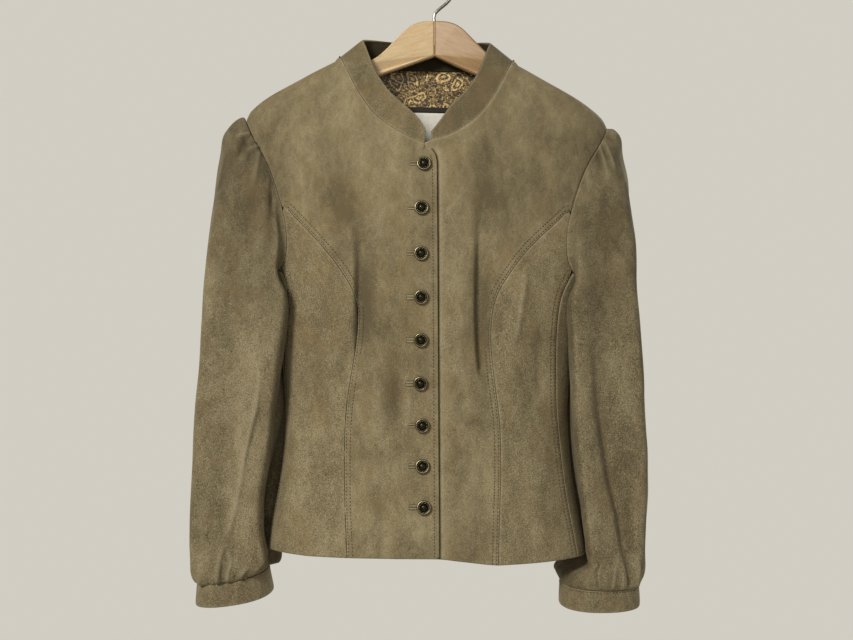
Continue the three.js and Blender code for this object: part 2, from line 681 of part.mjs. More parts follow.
function collarGeometry() {
  const outer = collarGrid();
  return wallGeometry(outer, inward(outer, gridNormals(outer, false), bandCloth), false);
}

// A patch that lies on the inside of the back, between two heights and two half widths.
function innerPatch({
  top, bottom, halfTop, halfBottom, rows, columns, depth, thickness, sag = 0,
}) {
  const grid = [];
  for (let i = 0; i <= rows; i += 1) {
    const share = i / rows;
    const z = THREE.MathUtils.lerp(top, bottom, share);
    const half = THREE.MathUtils.lerp(halfTop, halfBottom, share);
    const row = [];
    for (let j = 0; j <= columns; j += 1) {
      const x = half * (1 - 2 * j / columns);
      const phi = x === 0 ? Math.PI : phiAt(x, z, false);
      const turned = phi < 0 ? phi + 2 * Math.PI : phi;
      row.push({ phi: turned, z: z - sag * neckDip(levels[0], phi) * (1 - share), lap: 0 });
    }
    grid.push(row);
  }
  const skin = gridPoints(grid);
  const normals = panelNormals(grid);
  return wallGeometry(inward(skin, normals, depth), inward(skin, normals, depth + thickness), false);
}

// ---------------------------------------------------------------- buttons

function buttonGeometry() {
  const r = buttonRadius;
  const profile = [[0, 0], [3, 0], [3.2, 1.2], [r, 1.6], [r, 2.9], [r * 0.66, 3.4],
    [r * 0.56, 4.6], [r * 0.3, 5.8], [0, 6.2]];
  return new THREE.LatheGeometry(profile.map(([x, y]) => new THREE.Vector2(x, y)), 12);
}

function placedButton({ x, z: level }) {
  const phi = phiAt(x, level, true);
  const lap = lapOf.right(phi, level);
  const normal = bodyNormal(phi, level, lap);
  const mesh = new THREE.Mesh(buttonGeometry(), materials.buttonMetal);
  mesh.position.copy(bodyPoint(phi, level, lap).addScaledVector(normal, seamGap));
  mesh.quaternion.setFromUnitVectors(new THREE.Vector3(0, 1, 0), normal);
  return mesh;
}

// ---------------------------------------------------------------- hanger

const woodTop = -58;          // crown of the hanger below the rod
const woodApex = -97.6;       // middle of its underside
const armTipX = 186;          // the arms end inside the shoulders
const tipRadius = 8.5;
const shoulderX = 68;         // where the neck's curve meets the straight shoulder
const shoulderZ = -104;
const sweep = -jacketY;       // the arms run forward to the shoulder line
const sweepReach = 105;
const armClearance = { right: 2.2, left: 3.7 };
const undersideSlope = { right: 0.384, left: 0.488 };

// Top of the arm's tip: just under the cloth of that shoulder.
function armTip(side) {
  const x = sides[side] * armTipX - jacketX;
  const table = bodySections.filter((row) => row.z >= shoulderTip);
  let z = shoulderTip;
  while (along(table, 'half', z) > Math.abs(x)) z += 0.1;
  return hang(new THREE.Vector3(x, 0, z)).z - cloth - armClearance[side];
}

// Mirrors a geometry across the middle and turns its triangles to face out again.
function mirrorX(geometry) {
  geometry.scale(-1, 1, 1);
  const corners = geometry.attributes.position.count;
  const index = [];
  for (let i = 0; i < corners; i += 3) index.push(i, i + 2, i + 1);
  geometry.setIndex(index);
}

function armGeometry(side) {
  const tip = armTip(side);
  const slope = (tip - shoulderZ) / (armTipX - shoulderX);
  const joint = seamGap / 2;
  const shape = new THREE.Shape();
  shape.moveTo(joint, woodApex);
  shape.lineTo(joint, woodTop);
  shape.splineThru([[15, -59.6], [29, -66], [45, -82], [57, -94.5], [shoulderX, shoulderZ + 1], [84, -109.5]]
    .map(([x, z]) => new THREE.Vector2(x, z)));
  shape.lineTo(armTipX - tipRadius, tip - slope * tipRadius);
  shape.absarc(armTipX - tipRadius, tip - slope * tipRadius - tipRadius, tipRadius,
    Math.PI / 2, -Math.PI / 2, true);
  shape.lineTo(shoulderX, woodApex - shoulderX * undersideSlope[side]);
  shape.closePath();
  const geometry = new THREE.ExtrudeGeometry(shape, {
    depth: hangerThick - 3,
    curveSegments: 5,
    bevelEnabled: true,
    bevelThickness: 1.5,
    bevelSize: 1.5,
    bevelOffset: -1.5,
    bevelSegments: 1,
  });
  geometry.translate(0, 0, -(hangerThick - 3) / 2);
  geometry.rotateX(Math.PI / 2);
  const position = geometry.attributes.position;
  for (let i = 0; i < position.count; i += 1) {
    const share = Math.min(1, position.getX(i) / sweepReach);
    position.setY(i, position.getY(i) - sweep * Math.sin(share * Math.PI / 2));
  }
  if (side === 'right') mirrorX(geometry);
  return geometry;
}

function hookGeometry() {
  const radius = hookRadius + wireRadius;
  const centre = -hookRadius;
  const points = [new THREE.Vector3(0, 0, woodTop + seamGap), new THREE.Vector3(0, 0, -50)];
  for (let degrees = -45; degrees <= 205; degrees += 25) {
    const angle = THREE.MathUtils.degToRad(degrees);
    points.push(new THREE.Vector3(radius * Math.cos(angle), 0, centre + radius * Math.sin(angle)));
  }
  const path = new THREE.CatmullRomCurve3(points);
  const section = new THREE.Shape();
  section.absarc(0, 0, wireRadius, 0, 2 * Math.PI, false);
  return new THREE.ExtrudeGeometry(section, {
    steps: 28, bevelEnabled: false, extrudePath: path, curveSegments: 5,
  });
}

// ---------------------------------------------------------------- materials

const material = (color, roughness, metalness = 0) => new THREE.MeshStandardMaterial({
  color, roughness, metalness,
});
const materials = {
  suede: material('#8a7a58', 0.95),
  sleeveSuede: material('#7f7053', 0.95),
  lining: material('#8a5f2c', 0.5),
  label: material('#d8d2c4', 0.8),
  ribbon: material('#2b2119', 0.8),
  buttonMetal: material('#4a463c', 0.45, 0.9),
  paleBeech: material('#c9a77a', 0.55),
  darkBeech: material('#b98f5e', 0.55),
  steel: material('#8c8c8c', 0.3, 1),
};

// ---------------------------------------------------------------- the object

const jacket = new THREE.Group();
jacket.position.set(jacketX, jacketY, 0);

function add(group, name, geometry, finish) {
  const mesh = new THREE.Mesh(geometry, finish);
  mesh.name = name;
  group.add(mesh);
}

for (const side of ['right', 'left']) {
  add(jacket, `${side}_front`, panelGeometry(frontGrid(side)), materials.suede);
  add(jacket, `${side}_side_front`, panelGeometry(sideFrontGrid(side)), materials.suede);
  add(jacket, `${side}_side_back`, panelGeometry(sideBackGrid(side)), materials.suede);
  add(jacket, `${side}_back`, panelGeometry(backGrid(side)), materials.suede);
  const { grid, turns, edgeNormals } = sleeveGrid(side);
  const sleeve = tubeGeometry(grid, side, cloth, edgeNormals);
  const cuff = tubeGeometry(cuffGrid(grid[grid.length - 1], side, turns), side, bandCloth);
  add(jacket, `${side}_sleeve`, sleeve, materials.sleeveSuede);
  add(jacket, `${side}_cuff`, cuff, materials.sleeveSuede);
}
add(jacket, 'collar', collarGeometry(), materials.suede);
add(jacket, 'back_lining', innerPatch({
  top: -108, bottom: -206, halfTop: 74, halfBottom: 84, rows: 6, columns: 10,
  depth: cloth + 1.1, thickness: 1, sag: 1,
}), materials.lining);
add(jacket, 'neck_label', innerPatch({
  top: -158, bottom: -190, halfTop: 26, halfBottom: 26, rows: 3, columns: 4,
  depth: cloth + 2.4 + seamGap, thickness: 1,
}), materials.label);
add(jacket, 'hanging_loop', innerPatch({
  top: -151.5, bottom: -157.5, halfTop: 33, halfBottom: 33, rows: 1, columns: 6,
  depth: cloth + 2.4 + seamGap, thickness: 1.4,
}), materials.ribbon);
buttons.forEach((place, i) => {
  const mesh = placedButton(place);
  mesh.name = `button_${i + 1}`;
  jacket.add(mesh);
});

const hanger = new THREE.Group();
add(hanger, 'hanger_right_arm', armGeometry('right'), materials.paleBeech);
add(hanger, 'hanger_left_arm', armGeometry('left'), materials.darkBeech);
add(hanger, 'hanger_hook', hookGeometry(), materials.steel);

const object = new THREE.Group();
object.add(jacket, hanger);
export default object;
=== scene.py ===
# %% [markdown]
# # A suede trachten jacket on its wooden hanger
# The jacket is a short fitted one from the folk dress of the Alps: olive-khaki suede,
# a stand collar, princess seams, puffed sleeve heads, narrow cuffs and a row of cast
# metal buttons. The frame gives every pattern piece as a stiff wall of the right size
# and place. Here each piece becomes soft leather with folds, seams and thread.

# %% Load the frame
import math
from functools import partial
import bmesh
import bpy
import numpy as np
from mathutils import Matrix, Vector
from mathutils.bvhtree import BVHTree
from mathutils.kdtree import KDTree


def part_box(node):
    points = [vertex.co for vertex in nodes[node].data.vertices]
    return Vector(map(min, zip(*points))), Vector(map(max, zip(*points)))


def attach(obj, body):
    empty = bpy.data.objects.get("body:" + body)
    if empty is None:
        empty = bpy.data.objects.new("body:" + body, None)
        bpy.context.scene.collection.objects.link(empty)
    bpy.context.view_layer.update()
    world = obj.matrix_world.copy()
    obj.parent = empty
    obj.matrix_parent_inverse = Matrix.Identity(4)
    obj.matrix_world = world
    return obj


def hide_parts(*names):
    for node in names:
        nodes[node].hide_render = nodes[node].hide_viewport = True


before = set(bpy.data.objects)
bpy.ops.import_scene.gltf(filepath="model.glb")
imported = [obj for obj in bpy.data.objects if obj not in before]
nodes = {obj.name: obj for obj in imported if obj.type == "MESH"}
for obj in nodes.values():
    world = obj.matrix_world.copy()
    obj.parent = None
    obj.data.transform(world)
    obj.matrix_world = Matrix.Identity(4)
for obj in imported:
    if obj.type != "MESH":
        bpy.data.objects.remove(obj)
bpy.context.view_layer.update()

MM = 0.001


# %% Helpers for objects and meshes
def add_object(name, data):
    """Puts a new object in the scene."""
    new = bpy.data.objects.new(name, data)
    bpy.context.collection.objects.link(new)
    return new


def finished(bm, name):
    """Turns a bmesh into a mesh."""
    mesh = bpy.data.meshes.new(name)
    bm.to_mesh(mesh)
    bm.free()
    return mesh

# %% [markdown]
# ## Camera, floor and light
# The jacket hangs at eye level and the camera looks at it square on, from about a
# metre and a half. The light is that of a plain studio: a soft lamp high on the left
# draws the folds, a weak one on the right keeps their far sides readable, and some
# behind keep the back from going black. The air is bright where a camera looks into it
# but gives the cloth less light than that, as a pale room with one window does.

# %% Camera
focal_length, picture_width, sensor = 1295, 853, 36
camera_data = bpy.data.cameras.new("camera")
camera_data.sensor_width = sensor
camera_data.sensor_fit = "HORIZONTAL"
camera_data.lens = sensor * focal_length / picture_width
camera = add_object("camera", camera_data)
camera.location = (-0.009, -1.463, -0.395)
camera.rotation_euler = (math.radians(90), 0, 0)
bpy.context.scene.camera = camera
print("lens", round(camera_data.lens, 1), "mm")

# %% Colours as hex values, and a helper for nodes
def linear(code):
    """An sRGB hex value as the linear colour that shaders use."""
    parts = [int(code[i:i + 2], 16) / 255 for i in (1, 3, 5)]
    return [p / 12.92 if p <= 0.04045 else ((p + 0.055) / 1.055) ** 2.4 for p in parts] + [1]


def add_node(tree, kind, inputs=(), out=0, stops=(), to=None, **settings):
    """Adds a node, sets its properties, fills or links its inputs and gives an output,
    which is linked to the shader's input `to` if that is named. The inputs are a dict,
    or a list in the order of the sockets. A ramp's stops are (position, colour or grey)."""
    new = tree.nodes.new("ShaderNode" + kind)
    for key, value in settings.items():
        setattr(new, key, value)
    for key, value in inputs.items() if isinstance(inputs, dict) else enumerate(inputs):
        if isinstance(value, bpy.types.NodeSocket):
            tree.links.new(value, new.inputs[key])
        elif value is not None:
            new.inputs[key].default_value = linear(value) if isinstance(value, str) else value
    for i, (position, colour) in enumerate(stops):
        band = new.color_ramp.elements
        element = band[i] if i < len(band) else band.new(1)
        element.position = position
        element.color = linear(colour) if isinstance(colour, str) else [colour] * 3 + [1]
    if to:
        shader = tree.nodes.get("Principled BSDF") or tree.nodes["Background"]
        tree.links.new(new.outputs[out], shader.inputs[to])
    return new.outputs[out]


def new_material(name, **values):
    """A material whose shader takes the values, and the function that adds its nodes."""
    material = bpy.data.materials.new(name)
    material.use_nodes = True
    shader = material.node_tree.nodes["Principled BSDF"]
    for key, value in values.items():
        shader.inputs[key.replace("_", " ")].default_value = value
    return material, partial(add_node, material.node_tree)


# %% Air
scene = bpy.context.scene
scene.view_settings.view_transform = "Standard"
world = bpy.data.worlds.new("studio")
world.use_nodes = True
world.node_tree.nodes["Background"].inputs["Color"].default_value = linear("#E9E5DA")
seen = add_node(world.node_tree, "LightPath", out="Is Camera Ray")
add_node(world.node_tree, "MapRange", {"Value": seen, "To Min": 0.28, "To Max": 0.78},
         to="Strength")
scene.world = world

# %% Floor
floor_height, floor_radius = -1.7, 3.4
bm = bmesh.new()
bmesh.ops.create_circle(bm, cap_ends=True, segments=96, radius=floor_radius,
                        matrix=Matrix.Translation((0, 0, floor_height)))
floor = add_object("floor", finished(bm, "floor"))
floor_paint, add = new_material("pale_painted_floor", Roughness=0.7)
place = add("TexCoord", out="Object")
wear = add("TexNoise", {"Vector": place, "Scale": 3.0, "Detail": 5.0}, out="Fac")
add("ValToRGB", {"Fac": wear}, stops=[(0.3, "#CFC9BE"), (0.7, "#DBD6CC")], to="Base Color")
floor.data.materials.append(floor_paint)


# %% Lamps
def lamp(name, place, size, watts, colour="#FFFFFF", target=(0, -0.02, -0.4)):
    """A square soft lamp that looks at a point."""
    data = bpy.data.lights.new(name, "AREA")
    data.shape, data.size, data.energy = "SQUARE", size, watts
    data.color = linear(colour)[:3]
    light = add_object(name, data)
    light.location = place
    light.rotation_euler = (Vector(target) - Vector(place)).to_track_quat("-Z", "Y").to_euler()


lamp("key", (-1.1, -1.9, 0.7), 0.55, 45, "#FFFDF6")
lamp("front", (-0.1, -2.3, -0.05), 0.7, 5, "#FFFDF6")
lamp("fill", (1.9, -1.3, -0.2), 1.2, 4, "#F2F5FF")
lamp("back_left", (1.5, 1.8, 0.6), 1.0, 38, "#FFFBF2")
lamp("back_right", (-1.6, 1.6, 0.1), 1.0, 14)

# %% [markdown]
# ## Suede
# Suede is the split side of a hide, sanded until its fibres stand up as a nap. It has
# no gloss at all. The nap lies this way and that where hands have stroked it, so the
# colour goes cloudy, and its fibres catch light at a grazing angle, which is what the
# sheen gives. Edges, seams and sharp ridges rub pale, and a painted highlight goes along
# them as if they caught the light. Ditches hold dirt, creases hold dirt and painted
# shade, and a painted shadow lies where the right front laps over the left. The scales
# come from real sizes: clouds of 45 mm, tan stains of 30 mm, blotches of 12 mm, and
# clumps of nap of about a millimetre, which are drawn a little coarse so that they show.
# Each piece carries its own numbers for all this: how far it is from a seam, a free edge
# and a stitched seam, how dark it was stroked and shaded, how far its nap stands up, and
# where a fold is sharp.

# %% Suede material
def suede(name, lit, middle, shaded, tan, rubbed_and_highlight, grime_and_shade):
    """Nap leather: cloudy colour, rubbed edges and ridges with a painted highlight, dark seams and
    creases with dirt and painted shade, sheen and a felted bump.
    """
    material, add = new_material(
        name, Roughness=0.95, Specular_IOR_Level=0.1, Sheen_Weight=0.18, Sheen_Roughness=0.5,
        Sheen_Tint=linear("#D6CDB4"))
    seam, free, sewn, standing, stroke, ridge, crease = (
        add("Attribute", out="Fac", attribute_name=number)
        for number in ("seam_mm", "free_mm", "sewn_mm", "nap", "stroke", "ridge", "crease"))
    place = add("TexCoord", out="Object")
    stroked = add("Mapping", {
        "Vector": place, "Rotation": (0.2, 0.5, 0), "Scale": (1.25, 1.25, 0.7)})
    clouds = add("TexNoise", {
        "Vector": stroked, "Scale": 1 / 0.045, "Detail": 4.0, "Roughness": 0.6}, out="Fac")
    stains = add("TexNoise", {
        "Vector": stroked, "Scale": 1 / 0.03, "Detail": 3.0, "Distortion": 0.8}, out="Color")
    blotches = add("TexNoise", {
        "Vector": stroked, "Scale": 1 / 0.012, "Detail": 4.0, "Roughness": 0.65,
        "Distortion": 0.6}, out="Fac")
    nap = add("TexNoise", {
        "Vector": place, "Scale": 1 / 0.0011, "Detail": 2.0, "Roughness": 0.6}, out="Fac")
    speck = add("Math", [nap, 0.5], operation="SUBTRACT")
    speck = add("Math", [speck, standing], operation="MULTIPLY")
    tone = add("Math", [speck, 1.3, stroke], operation="MULTIPLY_ADD")
    tone = add("Math", [blotches, 0.36, tone], operation="MULTIPLY_ADD")
    tone = add("Math", [clouds, 0.42, tone], operation="MULTIPLY_ADD")
    colour = add("ValToRGB", {"Fac": tone}, stops=[(0.3, shaded), (0.5, middle), (0.72, lit)])
    tanned = add("ValToRGB", {"Fac": stains}, stops=[(0.48, 0.0), (0.68, 0.4)])
    # a ramp runs from 0 to 1, so it reads these distances in centimetres
    nearest = add("Math", [seam, free], operation="MINIMUM")
    edge_cm, seam_cm, sewn_cm = (add("Math", [distance, 10.0], operation="DIVIDE")
                                 for distance in (nearest, seam, sewn))
    # rubbed pale near edges and seams, with a painted highlight as if the edges caught the light
    worn_and_highlit = add("ValToRGB", {"Fac": edge_cm},
               stops=[(0.03, 0.0), (0.08, 0.26), (0.16, 0.1), (0.3, 0.0)])
    uneven = add("Math", [nap, blotches], operation="ADD")
    worn_and_highlit = add("Math", [worn_and_highlit, uneven], operation="MULTIPLY")
    # dark seams hold dirt; on the left front this ramp also paints the shadow of the lapped edge
    seam_dirt_and_lap_shadow = add("ValToRGB", {"Fac": seam_cm}, stops=[(0.02, 0.8), (0.07, 0.0)])
    # ridges rub pale with a painted highlight, and creases get dirt with painted shade
    for share, over in ((tanned, tan), (worn_and_highlit, rubbed_and_highlight), (seam_dirt_and_lap_shadow, grime_and_shade), (ridge, rubbed_and_highlight),
                        (crease, grime_and_shade)):
        colour = add("Mix", {0: share, 6: colour, 7: over}, out=2, data_type="RGBA",
                     to="Base Color")
    rows = add("ValToRGB", {"Fac": sewn_cm}, stops=[
        (0.1, 1.0), (0.2, 0.0), (0.3, 1.0), (0.55, 1.0), (0.65, 0.0), (0.75, 1.0)])
    normal = None
    for height, depth_mm, strength in ((blotches, 0.9, 0.4), (rows, 0.4, 0.6),
                                       (nap, 0.45, standing)):
        normal = add("Bump", {"Height": height, "Distance": depth_mm * MM, "Normal": normal,
                              "Strength": strength}, out="Normal", to="Normal")
    return material


body_suede = suede("olive_khaki_suede", "#A09374", "#82765A", "#5F5540", "#7A6443",
                   "#B9AE90", "#2A2316")
sleeve_suede = suede("grey_khaki_suede", "#9A8D70", "#7B7056", "#564D3A", "#715E42",
                     "#B2A688", "#262015")
# the collar's inner face is the same suede in shade, and this darker copy paints that shade
shaded_facing_suede = suede("painted_shade_facing_suede", "#4E4634", "#3F382A", "#302B20", "#3A3020",
                     "#5A5240", "#1C1811")
print("suedes", body_suede.name, sleeve_suede.name, shaded_facing_suede.name)

# %% [markdown]
# ## Lining
# The lining is a printed viscose satin with paisley, the curled drop of the old shawls.
# Its drops are drawn here from scratch: a Voronoi pattern gives each drop a cell and a
# turn of its own, the drop is a circle bent sideways as it rises, and rings follow its
# outline. Scrolls from a warped wave fill the ground between, and a finer layer of the
# same breaks both up, as the small sprigs of such a print do.

# %% Lining material
def paisley_satin(name, drop_mm):
    """Printed satin: ringed drops over a ground of scrolls, with sprigs over both."""
    material, add = new_material(name, Roughness=0.4, Sheen_Weight=0.1, Specular_IOR_Level=0.45)
    size = drop_mm * MM
    place = add("TexCoord", out="Object")
    warp = add("TexNoise", {"Vector": place, "Scale": 1 / 0.009, "Detail": 2.0}, out="Color")
    shift = add("VectorMath", {0: warp, "Scale": 0.006}, operation="SCALE")
    shifted = add("VectorMath", [place, shift], operation="ADD")
    flat = add("Mapping", {"Vector": shifted, "Scale": (1, 0, 1)})
    # a cell for each drop, and a turn of its own
    cells = add("TexVoronoi", {"Vector": flat, "Scale": 1 / size, "Randomness": 0.7},
                out="Position")
    spin = add("TexWhiteNoise", {"Vector": cells}, out="Value")
    angle = add("Math", [spin, 2 * math.pi], operation="MULTIPLY")
    from_centre = add("VectorMath", [flat, cells], operation="SUBTRACT")
    turned = add("VectorRotate", {"Vector": from_centre, "Angle": angle},
                 rotation_type="Y_AXIS")
    across, up = (add("SeparateXYZ", [turned], out=axis) for axis in "XZ")
    # a circle that bends sideways and narrows as it rises
    up_squared = add("Math", [up, up], operation="MULTIPLY")
    bent = add("Math", [up_squared, -0.9 / size, across], operation="MULTIPLY_ADD")
    taper = add("Math", [up, 1 / size, 1.5], operation="MULTIPLY_ADD")
    narrow = add("Math", [bent, taper], operation="MULTIPLY")
    tall = add("Math", [up_squared, 0.8], operation="MULTIPLY")
    squared = add("Math", [narrow, narrow, tall], operation="MULTIPLY_ADD")
    radius = add("Math", [squared, 0.5], operation="POWER")
    drop = add("Math", [radius, 1 / size], operation="MULTIPLY")
    waves = add("Math", [drop, 30.0], operation="MULTIPLY")
    rings = add("Math", [waves], operation="SINE")
    rings = add("Math", [rings, 0.5, 0.5], operation="MULTIPLY_ADD")
    scroll = add("TexWave", {
        "Vector": flat, "Scale": 1 / 0.022, "Distortion": 11.0, "Detail": 4.0,
        "Detail Scale": 2.4, "Detail Roughness": 0.7}, out="Fac",
        wave_type="RINGS", rings_direction="Y")
    sprigs = add("TexNoise", {
        "Vector": flat, "Scale": 1 / 0.0042, "Detail": 3.0, "Roughness": 0.75,
        "Distortion": 2.5}, out="Fac")
    colour = add("ValToRGB", {"Fac": scroll}, stops=[
        (0.0, "#1C1106"), (0.3, "#5A3810"), (0.52, "#A97A30"), (0.65, "#6A4212"),
        (0.82, "#D9B76C"), (1.0, "#201306")])
    drops = add("ValToRGB", {"Fac": rings}, stops=[
        (0.1, "#33200B"), (0.35, "#8A5C1E"), (0.65, "#BD9043"), (0.95, "#E4CC8C")])
    inside = add("ValToRGB", {"Fac": drop}, stops=[(0.40, 1.0), (0.43, 0.0)])
    dark = add("ValToRGB", {"Fac": sprigs}, stops=[(0.43, 0.92), (0.5, 0.0)])
    light = add("ValToRGB", {"Fac": sprigs}, stops=[(0.56, 0.0), (0.62, 0.9)])
    for share, over in ((inside, drops), (dark, "#23170B"), (light, "#E8CE8C")):
        colour = add("Mix", {0: share, 6: colour, 7: over}, out=2, data_type="RGBA",
                     to="Base Color")
    weave = add("TexNoise", {"Vector": place, "Scale": 1 / 0.0006}, out="Fac")
    add("Bump", {"Height": weave, "Distance": 0.08 * MM, "Strength": 0.5}, out="Normal",
        to="Normal")
    return material


lining = paisley_satin("paisley_viscose_satin", 26)
print("lining", lining.name)

# %% [markdown]
# ## Cloth from the pattern pieces
# Each wall of the frame is a sheet of four-sided cells with an outer and an inner face.
# The outer face is taken off a merged copy, the diagonals that cut its cells are
# dissolved, and Catmull-Clark subdivision rounds it. The cells of the sleeves are long,
# so extra rings go between them first. Then folds are pushed in, neighbours are
# drawn together at their seams, and Solidify gives the thickness back.

# %% Take the outer face off a wall
BODY_AXIS = Vector((-0.009, -0.013, 0))  # stands in the middle of the body
WELD_MM, SAME_MM = 0.01, 0.003


def spread(first, allowed):
    """All faces that hang together with a first one."""
    found, todo = {first}, [first]
    while todo:
        for edge in todo.pop().edges:
            for face in edge.link_faces:
                if face not in found and face in allowed:
                    found.add(face)
                    todo.append(face)
    return found


def one_skin(name, thickness_mm, inner=False):
    """A bmesh of one face of a CAD wall: the outer one, or the inner one."""
    bm = bmesh.new()
    bm.from_mesh(nodes[name].data)
    bmesh.ops.remove_doubles(bm, verts=bm.verts, dist=WELD_MM * MM)
    bm.normal_update()
    tube = "sleeve" in name or "cuff" in name
    axis = sum((v.co for v in bm.verts), Vector()) / len(bm.verts) if tube else BODY_AXIS
    rim = {face for edge in bm.edges
           if abs(edge.calc_length() - thickness_mm * MM) < SAME_MM * MM
           for face in edge.link_faces}
    left, skins = set(bm.faces) - rim, []
    while left:
        skins.append(spread(next(iter(left)), left))
        left = left - skins[-1]

    def looks_out(skin):
        return sum(f.calc_area() * f.normal.xy.dot((f.calc_center_median() - axis).xy)
                   for f in skin)

    keep = sorted(skins, key=looks_out)[0 if inner else -1]
    bmesh.ops.delete(bm, geom=[f for f in bm.faces if f not in keep], context="FACES")
    return bm


def slant(edge):
    """How far the cell on both sides of an edge is from a rectangle cut by it."""
    a, b = edge.verts
    tips = [next(v for v in face.verts if v not in edge.verts) for face in edge.link_faces]
    return max(abs((a.co - tip.co).normalized().dot((b.co - tip.co).normalized()))
               for tip in tips)


def dissolve_diagonals(bm):
    """Turns the cut cells back into quads, from one sure diagonal to its neighbours."""
    first = min((e for e in bm.edges if len(e.link_faces) == 2), key=slant)
    diagonals, done, todo = {first}, set(), [first]
    while todo:
        diagonal = todo.pop()
        done.update(diagonal.link_faces)
        for face in diagonal.link_faces:
            for side in face.edges:
                if side is diagonal or len(side.link_faces) < 2:
                    continue
                near = next(v for v in side.verts if v not in diagonal.verts)
                beyond = next(f for f in side.link_faces if f is not face)
                if beyond in done:
                    continue
                following = next(e for e in beyond.edges if e is not side and near in e.verts)
                if following not in diagonals:
                    diagonals.add(following)
                    todo.append(following)
    bmesh.ops.dissolve_edges(bm, edges=[e for e in bm.edges if e in diagonals])


def add_rings(bm, step_mm=24.0):
    """Puts smooth rings between the rings of a tube, until they are this close."""
    top = max(v.co.z for v in bm.verts if v.is_boundary)
    ring = [v for v in bm.verts if v.is_boundary and v.co.z > top - 0.3]
    count = {v: 0 for v in ring}
    while ring:
        following = []
        for vert in ring:
            for edge in vert.link_edges:
                other = edge.other_vert(vert)
                if other not in count:
                    count[other] = count[vert] + 1
                    following.append(other)
        ring = following
    rungs = {}
    for edge in bm.edges:
        a, b = (count[v] for v in edge.verts)
        if a != b:
            rungs.setdefault(min(a, b), []).append(edge)
    cuts = {i: round(max(e.calc_length() for e in rung) / (step_mm * MM)) - 1
            for i, rung in rungs.items()}
    for i, rung in rungs.items():
        if cuts[i] > 0:
            bmesh.ops.subdivide_edgering(bm, edges=[e for e in rung if e.is_valid],
                                         interp_mode="SURFACE", smooth=1.0, cuts=cuts[i])


def smooth_sheet(name, thickness_mm, levels=3, inner=False, rings=False):
    """The rounded sheet of a wall, as a mesh."""
    bm = one_skin(name, thickness_mm, inner)
    dissolve_diagonals(bm)
    if rings:
        add_rings(bm)
    holder = add_object(name + "_coarse", finished(bm, name + "_coarse"))
    rounding = holder.modifiers.new("rounding", "SUBSURF")
    rounding.levels = rounding.render_levels = levels
    rounding.boundary_smooth = "PRESERVE_CORNERS"
    ready = holder.evaluated_get(bpy.context.evaluated_depsgraph_get())
    mesh = bpy.data.meshes.new_from_object(ready)
    bpy.data.objects.remove(holder)
    mesh.name = name
    return mesh


# %% Read and write a mesh as arrays
def places_of(mesh):
    flat = np.empty(len(mesh.vertices) * 3)
    mesh.vertices.foreach_get("co", flat)
    return flat.reshape(-1, 3)


def normals_of(mesh):
    flat = np.empty(len(mesh.vertices) * 3)
    mesh.vertex_normals.foreach_get("vector", flat)
    return flat.reshape(-1, 3)


def move_to(mesh, places):
    mesh.vertices.foreach_set("co", places.ravel())
    mesh.update()


def keep(mesh, **numbers):
    """Stores named numbers for each vertex, for the shaders to read."""
    for name, values in numbers.items():
        layer = mesh.attributes.get(name) or mesh.attributes.new(name, "FLOAT", "POINT")
        values = np.broadcast_to(np.asarray(values, dtype=np.float32), len(mesh.vertices))
        layer.data.foreach_set("value", np.ascontiguousarray(values))


def border_edges(mesh):
    """The open border of a mesh, as pairs of vertex numbers."""
    bm = bmesh.new()
    bm.from_mesh(mesh)
    pairs = [tuple(v.index for v in e.verts) for e in bm.edges if e.is_boundary]
    bm.free()
    return pairs


def points_along(mesh, pairs, step_mm=1.0):
    """Evenly spaced points on border edges."""
    found = []
    for first, second in pairs:
        a, b = mesh.vertices[first].co, mesh.vertices[second].co
        count = max(1, round((b - a).length / (step_mm * MM)))
        found += [a.lerp(b, i / count) for i in range(count)]
    return found


def tree_of_points(points):
    tree = KDTree(len(points))
    for i, point in enumerate(points):
        tree.insert(point, i)
    tree.balance()
    return tree


def distances_mm(points, places, far_mm=60.0):
    """Distance of every place from the nearest of the points, in millimetres."""
    if not points:
        return np.full(len(places), far_mm)
    tree = tree_of_points(points)
    return np.array([min(far_mm, tree.find(place)[2] / MM) for place in places])


# %% [markdown]
# ## Folds
# A fold is a line down the cloth with a height, a width on each side and a length over
# which it fades in and out. The jacket was cut for a bust that isn't there, so each
# front falls in beside its princess seam in one deep valley that ends sharply at the
# waist, and small folds run from it. The sleeves have gathers at the head and the
# cuff, and one or two long ridges between them.

# %% Fold shapes
def smooth(t):
    """A soft step, from 0 where t is 0 or less to 1 where t is 1 or more."""
    t = np.clip(t, 0, 1)
    return t * t * (3 - 2 * t)


def folds(*rows, front=True):
    """Folds on the front or the back. A row gives a height, which is below zero for a
    valley, a width, or one for the -X side and one for the +X side, the shares of the
    length over which the fold fades in and out, and the (x, height) points of its line,
    all in millimetres."""
    return [{"line": line, "height": height, "fade": fade, "front": front,
             "sides": width if isinstance(width, tuple) else (width, width)}
            for height, width, fade, *line in rows]


def fold_heights(given, places, normals):
    """The height in millimetres that all the given folds together give each vertex."""
    x, z = places[:, 0] / MM, places[:, 2] / MM
    total = np.zeros(len(places))
    for one in given:
        line = np.array(one["line"], dtype=float)
        steps = np.linalg.norm(np.diff(line, axis=0), axis=1)
        nearest = np.full(len(places), 1e9)
        side = np.zeros(len(places))
        share = np.zeros(len(places))
        for i, length in enumerate(steps):
            direction = (line[i + 1] - line[i]) / length
            dx, dz = x - line[i][0], z - line[i][1]
            along = np.clip(dx * direction[0] + dz * direction[1], 0, length)
            away = np.hypot(dx - along * direction[0], dz - along * direction[1])
            closer = away < nearest
            nearest = np.where(closer, away, nearest)
            turn = np.sign(-direction[1] * dx + direction[0] * dz)
            side = np.where(closer, turn, side)
            share = np.where(closer, (steps[:i].sum() + along) / steps.sum(), share)
        width = np.where(side < 0, *one["sides"])
        taper = smooth(share / one["fade"][0]) * smooth((1 - share) / one["fade"][1])
        facing = smooth(normals[:, 1] * (-2 if one["front"] else 2))
        total += one["height"] * taper * facing * np.exp(-((nearest / width) ** 2))
    return total


